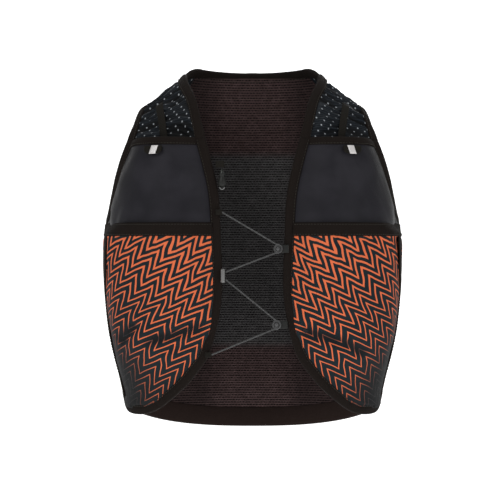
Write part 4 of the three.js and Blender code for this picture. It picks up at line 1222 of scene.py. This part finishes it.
def back_grid(columns, rows, top=None):
    """Girth and height over the back panel, from its top edge or from a height down to the hem tape."""
    u, v = unit_grid(columns, rows, -1)
    half = np.abs(u)
    neck, shoulder = YOKE_NECK_X + EDGE_TAPE - TUCK, YOKE_ARM_X - ARMHOLE_TAPE + TUCK

    def top_x(t):
        return np.where(t < 0.5, neck * t * 2, lerp(neck, shoulder, t * 2 - 1))

    def top_z(t):
        seam = yoke_seam_z(top_x(t)) + TUCK * 0.4
        crown = lerp(NAPE_Z - NAPE_TAPE + NAPE_TUCK, float(yoke_seam_z(neck)), (2 * t) ** 2)
        return np.where(t < 0.5, crown, seam)

    armhole = inset(BACK_ARMHOLE, ARMHOLE_TAPE - TUCK, -1)
    foot = half * side_seam(SIDE_HEM_Z)
    bottom = hem_height(foot) + hem_width(foot) - TUCK
    first = top_z(np.ones(1))[0] if top is None else top
    side_z = lerp(first, bottom[:, -1:], v)
    edge = np.minimum(girth_on(armhole, side_z), side_seam(side_z) + TUCK * 0.5)
    if top is not None:
        return u * edge, lerp(top, bottom, v), u, v
    line = np.linspace(0, 1, columns)
    crest = np.array([girth_at(float(top_x(t)), float(min(top_z(t), 24)), "back") for t in line])
    top_q = np.interp(half, line, crest)
    q = lerp(top_q + (edge - crest[-1]) * half**3, half * edge, ease(v * 3.2))
    return np.sign(u) * q, lerp(top_z(half), bottom, v), u, v


def rear_offset(u, v):
    """How far the rear pocket stands off the body form."""
    return 6.6 + REAR_DEPTH * swell((u + 1) / 2, 0.5) * ease((1 - v) * 3)


def back_piece(name, node, slot, q, z, lift, thickness, material, cloth):
    """A cloth laid on the back of the body form, that stands for a CAD node."""
    piece, face = laid_piece(name, back_point, q, z, lift, thickness, material, 1, cloth)
    settle(piece, slot, "back", replaces=[node])
    declare_cloth(face)


def build_back():
    q, z, u, v = back_grid(121, 170)
    cloth = (np.abs(q), z, 0 * q)
    back_piece("back_mesh", "back_lining", "mesh_lining", q, z, 1.6 + 0 * q, 1.6, RIBBED, cloth)
    window = ease(np.minimum(1 - np.abs(u), np.minimum(v, 1 - v) * 2) * 8)
    relief = 0.8 * fractal(q / 46, z / 38, 71, 2) * window
    back_piece("back_cloth", "back_shell", "shell_fabric", q, z, 4.6 + relief, 1.0, SHELL, (q, z, 0 * q))

    q, z, u, v = back_grid(131, 90, REAR_TOP - 3)
    warmth = np.clip(1.0 - 0.55 * np.abs(u) - 0.5 * v, 0, 1)
    edge = ease(np.minimum(1 - np.abs(u), 1 - v) * 12)
    gathered = 1.3 * np.exp(-v * 5) * fractal(q / 8.5, z / 60, 81, 2)
    lift = rear_offset(u, v) + edge * (gathered + 1.0 * fractal(q / 44, z / 30, 83, 2))
    cloth = (np.abs(q), z, warmth)
    back_piece("rear_stretch_pocket", "rear_pocket", "chevron_stretch", q, z, lift, 1.0, CHEVRON, cloth)


def build_back_tapes():
    half = float(side_seam(REAR_TOP)) - 1
    mouth = across_path(REAR_TOP, -half, half, 160)
    base = lambda a, b: rear_offset(a / half, 0 * a)
    piece = band_piece("rear_mouth", back_point, mouth, REAR_TAPE, (-1.7, 1.7), base, 1, 12)
    settle(piece, "binding", "back", replaces=["rear_pocket_binding"])

    end = float(side_girth(SIDE_HEM_Z, "back")) - 0.5
    a = np.linspace(-end, end, 220)
    hem = even_path(back_point, np.stack([a, hem_height(a)], axis=-1), TAPE_STEP)
    at_seams = lambda run: ease((np.abs(run / run[-1] - 0.5) - 0.38) / 0.1)
    up = -turn_into(back_point, hem, None)
    breadth = hem_width(hem[:, 0]) / HEM_TAPE
    section = tape_section(HEM_TAPE, -0.8, 5.6)
    rings, cloth = tape_rings(back_point, hem, section, up, None, 0.3, 14, breadth, at_seams)
    settle(tube_piece("hem_tape", rings, HEM, cloth), "binding", "back", replaces=["hem_binding"])

    rows = [stitch_row(back_point, mouth, distance, 1.85, base=base) for distance in (REAR_TAPE - 1.5, 1.8)]
    for distance in (lambda row: 1.6 - hem_width(row[:, 0]), -2.4):
        rows.append(stitch_row(back_point, hem, distance, 5.75))
    settle(stitch_piece("back_stitches", rows, 1), "binding", "back")


def build_side_panel(side, sign):
    u, v = unit_grid(26, 80)
    foot_girth = side_seam(-350) + u * SIDE_SEAM
    foot = hem_height(foot_girth) + hem_width(foot_girth) - TUCK
    z = lerp(UNDERARM_Z - ARMHOLE_TAPE + TUCK, foot, v)
    q = lerp(side_seam(z) - 3, side_girth(z, "back") + 0.5, u)
    lift = 2.3 + 0.5 * fractal(q / 20, z / 30, 91 + sign, 2)
    piece, face = laid_piece(f"side_cloth_{side}", back_point, q, z, lift, 1.4, SHELL, sign, (q, z, 0 * q))
    settle(piece, "shell_fabric", "back", replaces=[f"side_panel_{side}"])
    declare_cloth(face)


HANG_LOOP_HALF, HANG_LOOP_Z = 24, 18.0
HANG_LOOP_SECTION = [(-4, 0.2), (-3.7, 0.7), (0, 0.8), (3.7, 0.7), (4, 0.2)]
HANG_LOOP_SECTION += [(3.7, -0.6), (0, -0.6), (-3.7, -0.6)]


def build_hang_loop():
    t = np.linspace(-1, 1, 60)
    q = HANG_LOOP_HALF * t
    stand = 5.2 + 9 * swell((t + 1) / 2, 0.8)
    place = lambda s: (q, np.full(60, HANG_LOOP_Z + s))
    piece = strap_piece("nape_loop", back_point, place, stand, HANG_LOOP_SECTION, q, 1)
    settle(piece, "webbing", "back", replaces=["hang_loop"])


# ---------------------------------------------------------------- lacing

LACE_RADIUS, LACE_WRAP, LACE_LIFT = 0.9, 3.4, 4.4
HOOKS = {"upper": (27.6, -181), "lower": (26.0, -264)}
ANCHORS = {"upper": (-37, -141), "lower": (-48.5, -297)}
KEEPER = (-32.5, -210.5)
LACE_FROM_ANCHOR, LACE_FROM_KEEPER, LACE_AT_KEEPER = 3.5, 3.2, 4.2


def tape_y(x, z, lift):
    """Depth of the outer face of the edge tape beside the opening, with a lift."""
    q = girth_at(max(36.0, abs(x)), z, "front")
    outer = EDGE_HEIGHTS[1] + lift
    return float(lifted(front_point, np.array([q]), np.array([float(z)]), np.array([outer]))[0, 1])


def lace_route(start, hook, end):
    """The centre line of a lace loop: straight to a hook, round its far side and straight back."""

    def meeting(point, side):
        dx, dz = point[0] - hook[0], point[1] - hook[1]
        return math.atan2(dz, dx) - side * math.acos(LACE_WRAP / math.hypot(dx, dz))

    a, b = meeting(start, 1), meeting(end, -1) - 2 * math.pi
    y = tape_y(*hook, LACE_LIFT)
    turns = np.linspace(a, b, 16)
    wrap = [(hook[0] + LACE_WRAP * math.cos(t), y, hook[1] + LACE_WRAP * math.sin(t)) for t in turns]
    ends = [(p[0], tape_y(*p, LACE_LIFT), p[1]) for p in (start, end)]
    first, last, ends = np.array(wrap[0]), np.array(wrap[-1]), np.array(ends)
    run_in = lerp(ends[0], first, np.linspace(0, 0.9, 8)[:, None])
    run_out = lerp(last, ends[1], np.linspace(0.1, 1, 8)[:, None])
    return np.concatenate([run_in, wrap, run_out])


def round_tube(name, path, radius, material, around=14, flatten=1.0, step=None):
    """A round cord or wire along a path, with its run and its turn as cloth coordinates."""
    path = np.asarray(path, float)
    run = run_of(path)
    if step:
        even = np.linspace(0, run[-1], int(run[-1] / step))
        path, run = at_run(path, run, even), even
    tangent = np.gradient(path, axis=0)
    tangent /= np.linalg.norm(tangent, axis=1, keepdims=True)
    side = np.cross(tangent, [0, 1, 0.001])
    side /= np.linalg.norm(side, axis=1, keepdims=True)
    up = np.cross(side, tangent)
    turn = np.linspace(0, 2 * np.pi, around, endpoint=False)
    cosine, sine = np.cos(turn)[None, :, None], flatten * np.sin(turn)[None, :, None]
    rings = path[:, None] + radius * (cosine * side[:, None] + sine * up[:, None])
    cloth = np.stack(np.broadcast_arrays(run[:, None], (turn * radius)[None, :], 0.0), axis=-1)
    return tube_piece(name, rings, material, cloth), float(run[-1])


def build_laces():
    anchor = {name: (x + LACE_FROM_ANCHOR, z) for name, (x, z) in ANCHORS.items()}
    keeper = [(KEEPER[0] + LACE_FROM_KEEPER, KEEPER[1] + s * LACE_AT_KEEPER) for s in (1, -1)]
    for name, body, start, end in (
        ("upper", "lace_top", anchor["upper"], keeper[0]),
        ("lower", "lace_bottom", keeper[1], anchor["lower"]),
    ):
        path = lace_route(start, HOOKS[name], end)
        piece, length = round_tube(f"lace_cord_{name}", path, LACE_RADIUS, CORD, step=0.7)
        settle(piece, "elastic_cord", body, replaces=[f"lace_{name}"])


def soft_box(name, size, centre, material, bevel=0.8, taper=0.0):
    """A box with rounded edges, a little narrower towards its front."""
    work = bmesh.new()
    bmesh.ops.create_cube(work, size=1.0)
    for vertex in work.verts:
        scale = 1 - taper if vertex.co.y < 0 else 1.0
        vertex.co.x *= size[0] * scale
        vertex.co.y *= size[1]
        vertex.co.z *= size[2] * scale
    bmesh.ops.bevel(work, geom=work.edges[:], offset=bevel, segments=3, profile=0.6, affect="EDGES")
    vertices = np.array([tuple(v.co) for v in work.verts])
    faces = [[v.index for v in f.verts] for f in work.faces]
    work.free()
    cloth = vertices[:, [0, 2, 1]] + 20
    return make_object(name, vertices + np.array(centre), faces, material, cloth)


def turned_piece(name, profile, place, material, count):
    """A turned part from a profile of radius and depth, where place gives a ring of points."""
    turn = np.linspace(0, 2 * np.pi, count, endpoint=False)
    rings = [place(radius * np.cos(turn), radius * np.sin(turn), depth) for radius, depth in profile]
    return tube_piece(name, np.stack(rings), material)


# Radius, and depth outwards from the tape.
HOOK_PROFILE = [(0.02, -5.4), (1.5, -5.35), (2.2, -4.9), (2.3, -3.6), (1.9, -2.6), (1.9, -1.8), (2.6, -1.55)]
HOOK_PROFILE += [(4.4, -1.5), (4.9, -1.1), (4.9, -0.2), (4.6, 0.0), (0.02, 0.0)]
GUARD_RADIUS, GUARD_WIRE, GUARD_DEPTH, GUARD_ANGLE = 4.5, 0.75, 3.4, 128
PLATE_SIZE, PLATE_SHIFT = (11, 1.4, 8.6), 6.6


def build_hook(level):
    """A plate sewn to the edge tape, with a round post and a guard that keeps the lace on it."""
    x, z = HOOKS[level]
    back = tape_y(x, z, 0.8)
    place = lambda a, b, d: np.stack([x + a, np.full(len(a), back + d), z + b], axis=-1)
    post = turned_piece(f"hook_{level}_post", HOOK_PROFILE, place, GREY_PLASTIC, 40)
    arc = np.radians(np.linspace(-GUARD_ANGLE, GUARD_ANGLE, 60))
    wire = place(GUARD_RADIUS * np.cos(arc), GUARD_RADIUS * np.sin(arc), -GUARD_DEPTH)
    guard, _ = round_tube(f"hook_{level}_guard", wire, GUARD_WIRE, GREY_PLASTIC, flatten=1.9)
    centre = (x + PLATE_SHIFT, back - 0.8, z)
    plate = soft_box(f"hook_{level}_plate", PLATE_SIZE, centre, BLACK_PLASTIC, 0.6)
    for piece in (post, guard, plate):
        settle(piece, "grey_plastic", "front_left", replaces=[f"lace_hook_{level}"])


def build_lacing_hardware():
    for level in HOOKS:
        build_hook(level)
    for level, (x, z) in ANCHORS.items():
        centre = (x, tape_y(x, z, LACE_LIFT) + 0.6, z)
        piece = soft_box(f"anchor_{level}", (7, 4.2, 6), centre, WEBBING, 1.0)
        settle(piece, "webbing", "front_right", replaces=[f"lace_anchor_{level}"])
    x, z = KEEPER
    centre = (x, tape_y(x, z, LACE_LIFT) + 0.3, z)
    piece = soft_box("keeper", (4.8, 5.0, 16), centre, PALE_PLASTIC, 1.6, 0.12)
    settle(piece, "grey_plastic", "front_right", replaces=["lace_keeper"])


WHISTLE_X, TAB_X, TAB_Z, RING_Z, WHISTLE_TOP = -33.4, -35.6, -88.5, -96.5, -100.4
RING_RADIUS, RING_WIRE, EYE_WIRE = 2.7, 0.62, 0.6
# Radius, and depth below the top of the barrel.
WHISTLE_PROFILE = [(0.05, -3.6), (2.3, -3.4), (3.4, -2.4), (3.6, -0.6), (2.7, 1.0), (2.5, 1.8), (3.2, 3.2)]
WHISTLE_PROFILE += [(4.1, 5.4), (4.5, 7.8), (4.4, 9.8), (3.9, 11.4), (2.8, 12.2), (1.7, 12.8), (0.05, 13)]


def build_whistle():
    """A pea whistle that hangs by a split ring from a webbing tab, with a pale eye at its foot."""
    x, y = WHISTLE_X, tape_y(WHISTLE_X, TAB_Z, 4.4)
    piece = soft_box("whistle_loop", (9.6, 3.0, 7.4), (TAB_X, y + 0.6, TAB_Z), WEBBING, 1.1)
    settle(piece, "webbing", "front_right", replaces=["whistle_tab"])
    turn = np.linspace(0, 2 * np.pi, 49)
    sine, cosine = RING_RADIUS * np.sin(turn), RING_RADIUS * np.cos(turn)
    ring = np.stack([x + 0.8 * np.sin(turn), y + sine, RING_Z + cosine], axis=-1)
    piece, _ = round_tube("split_ring", ring, RING_WIRE, METAL, 10)
    settle(piece, "ring_metal", "whistle", replaces=["whistle_ring"])
    place = lambda a, b, d: np.stack([x + a, y + 0.8 * b, np.full(len(a), WHISTLE_TOP - d)], axis=-1)
    piece = turned_piece("whistle_body", WHISTLE_PROFILE, place, BLACK_PLASTIC, 28)
    settle(piece, "black_plastic", "whistle", replaces=["whistle"])
    foot = [(x + 2.6 * math.cos(t), y - 0.6, WHISTLE_TOP - 13.2 + 2.4 * math.sin(t)) for t in -turn[:25]]
    piece, _ = round_tube("whistle_eye", foot, EYE_WIRE, PALE_PLASTIC, 10)
    settle(piece, "ring_metal", "whistle")


# ---------------------------------------------------------------- flasks

FLASK_TOP_X, FLASK_Y, FLASK_LEAN, FLASK_TURN = 98, -94.2, 0.035, 16
FLASK_HALF, FLASK_THICK, FLASK_BEND = 25, 7.1, 3
# Height, and shares of the half width, the thickness and the bend.
FLASK_SHAPE = [
    (-262, 0.66, 0.14, 1), (-260, 0.76, 0.30, 1), (-257, 0.84, 0.44, 1), (-250, 0.91, 0.64, 1),
    (-240, 0.96, 0.84, 1), (-225, 0.99, 0.95, 1), (-207, 1.0, 1.0, 1), (-180, 1.0, 0.98, 1),
    (-160, 0.99, 1.0, 1), (-146, 0.95, 1.0, 0.9), (-136, 0.88, 1.0, 0.8), (-128, 0.74, 1.02, 0.5),
    (-122, 0.6, 1.04, 0.25), (-116, 0.42, 1.05, 0),
]
# Height and radius; the cap's third number says whether it is ribbed there.
FLASK_NECK = [(-112.5, 8.0), (-111, 7.4), (-109.4, 7.4), (-108, 7.3)]
CAP_PROFILE = [(-106.9, 8.6, 0), (-106.3, 9.0, 0), (-105.4, 8.9, 1), (-97.2, 8.9, 1)]
CAP_PROFILE += [(-96.2, 9.0, 0), (-95, 8.0, 0)]
CAP_RIBS, CAP_RIB_HEIGHT = 24, 0.22
VALVE_PROFILE = [(-94.5, 5.6), (-93.9, 6.0), (-91, 5.9), (-89.6, 4.6), (-88.4, 4.3), (-83.2, 4.3)]
VALVE_PROFILE += [(-81.4, 5.2), (-79.8, 6.0), (-77.6, 5.8), (-76.4, 4.7), (-76, 2.6)]


def flask_ring(z, half, thick, bend, count=48):
    """A level ring round the flask's own line, turned and bent to the chest."""
    angle = np.linspace(0, 2 * np.pi, count, endpoint=False)
    across = half * np.cos(angle)
    out = thick * np.sin(angle) - bend * np.cos(angle) ** 2
    turn = math.radians(FLASK_TURN)
    x = FLASK_TOP_X + across * math.cos(turn) + out * math.sin(turn)
    y = FLASK_Y - FLASK_LEAN * (MOUTH_Z - z) + across * math.sin(turn) - out * math.cos(turn)
    return np.stack([x, y, np.full(count, float(z))], axis=-1)


def build_flask(side, sign):
    rings = [flask_ring(z, h * FLASK_HALF, t * FLASK_THICK, b * FLASK_BEND) for z, h, t, b in FLASK_SHAPE]
    rings += [flask_ring(z, r, r, 0) for z, r in FLASK_NECK]
    body = tube_piece(f"soft_flask_{side}", on_side(np.stack(rings), sign), FILM)
    settle(body, "flask_film", f"flask_{side}", replaces=[f"flask_{side}"])

    count = 3 * CAP_RIBS
    ridges = CAP_RIB_HEIGHT * np.sign(np.sin(np.linspace(0, 2 * np.pi, count, endpoint=False) * CAP_RIBS))
    cap = []
    for z, radius, ribbed in CAP_PROFILE:
        ring = flask_ring(z, 1, 1, 0, count)
        middle = ring.mean(axis=0)
        cap.append(middle + (ring - middle) * (radius + ribbed * ridges)[:, None])
    piece = tube_piece(f"cap_{side}", on_side(np.stack(cap), sign), BLACK_PLASTIC)
    settle(piece, "black_plastic", f"cap_{side}", replaces=[f"flask_cap_{side}"])

    rings = [flask_ring(z, r, r, 0, 36) for z, r in VALVE_PROFILE]
    piece = tube_piece(f"bite_valve_{side}", on_side(np.stack(rings), sign), RUBBER)
    settle(piece, "valve_rubber", f"cap_{side}", replaces=[f"flask_valve_{side}"])


# ---------------------------------------------------------------- the scene

CAMERA_PLACE = (-0.0029, -2.2, -0.1823)
LENS = 137.7
FLOOR_Z = -0.70
SWEEP_BACK, SWEEP_TOP, SWEEP_BEND, SWEEP_HALF = 9.0, 6.0, 1.8, 9.0
LIGHTS = [  # name, place, target, size and power
    ("key", (-1.3, -2.1, 1.3), (0, 0, -0.15), 1.2, 24),
    ("fill", (1.7, -1.9, 0.5), (0, 0, -0.2), 1.4, 13),
    ("top", (0.1, 0.4, 1.8), (0, 0, -0.1), 1.2, 15),
    ("back", (0.6, 2.2, 0.8), (0, 0, -0.1), 1.2, 10),
]


def build_camera():
    data = bpy.data.cameras.new("camera")
    data.lens = LENS
    data.sensor_width = 36
    data.clip_end = 50
    camera = bpy.data.objects.new("camera", data)
    camera.location = CAMERA_PLACE
    camera.rotation_euler = (math.radians(90), 0, 0)
    bpy.context.collection.objects.link(camera)
    bpy.context.scene.camera = camera


def build_light(name, place, target, size, power):
    data = bpy.data.lights.new(name, "AREA")
    data.shape = "SQUARE"
    data.size = size
    data.energy = power
    lamp = bpy.data.objects.new(name, data)
    lamp.location = place
    direction = mathutils.Vector(target) - mathutils.Vector(place)
    lamp.rotation_euler = direction.to_track_quat("-Z", "Y").to_euler()
    bpy.context.collection.objects.link(lamp)


def build_studio():
    s = Shader("studio paper", (0.93, 0.93, 0.93), 0.95)
    s.bsdf.inputs["Emission Color"].default_value = (1, 1, 1, 1)
    s.bsdf.inputs["Emission Strength"].default_value = 0.75
    profile = [(SWEEP_BACK, SWEEP_TOP), (SWEEP_BACK, 1.2)]
    for t in np.linspace(0, np.pi / 2, 12):
        y = SWEEP_BACK - SWEEP_BEND * (1 - math.cos(t))
        profile.append((y, FLOOR_Z + SWEEP_BEND * (1 - math.sin(t))))
    profile.append((-SWEEP_BACK, FLOOR_Z))
    vertices = [(x / MM, y / MM, z / MM) for y, z in profile for x in (-SWEEP_HALF, SWEEP_HALF)]
    faces = [(2 * i, 2 * i + 1, 2 * i + 3, 2 * i + 2) for i in range(len(profile) - 1)]
    make_object("studio_sweep", vertices, faces, s.material)
    world = bpy.data.worlds.new("studio")
    world.use_nodes = True
    world.node_tree.nodes["Background"].inputs["Color"].default_value = (1, 1, 1, 1)
    world.node_tree.nodes["Background"].inputs["Strength"].default_value = 0.42
    bpy.context.scene.world = world
    bpy.context.scene.view_settings.view_transform = "Standard"
    for light in LIGHTS:
        build_light(*light)


build_camera()
build_laces()
build_studio()
for SIDE, SIGN in SIDES:
    for build in (
        build_lining,
        build_chest,
        build_lower,
        build_panel_tapes,
        build_side_tape,
        build_pull,
        build_yoke,
        build_strap,
        build_shoulder_tapes,
        build_side_panel,
        build_flask,
    ):
        build(SIDE, SIGN)
build_back()
build_back_tapes()
build_hang_loop()
build_lacing_hardware()
build_whistle()
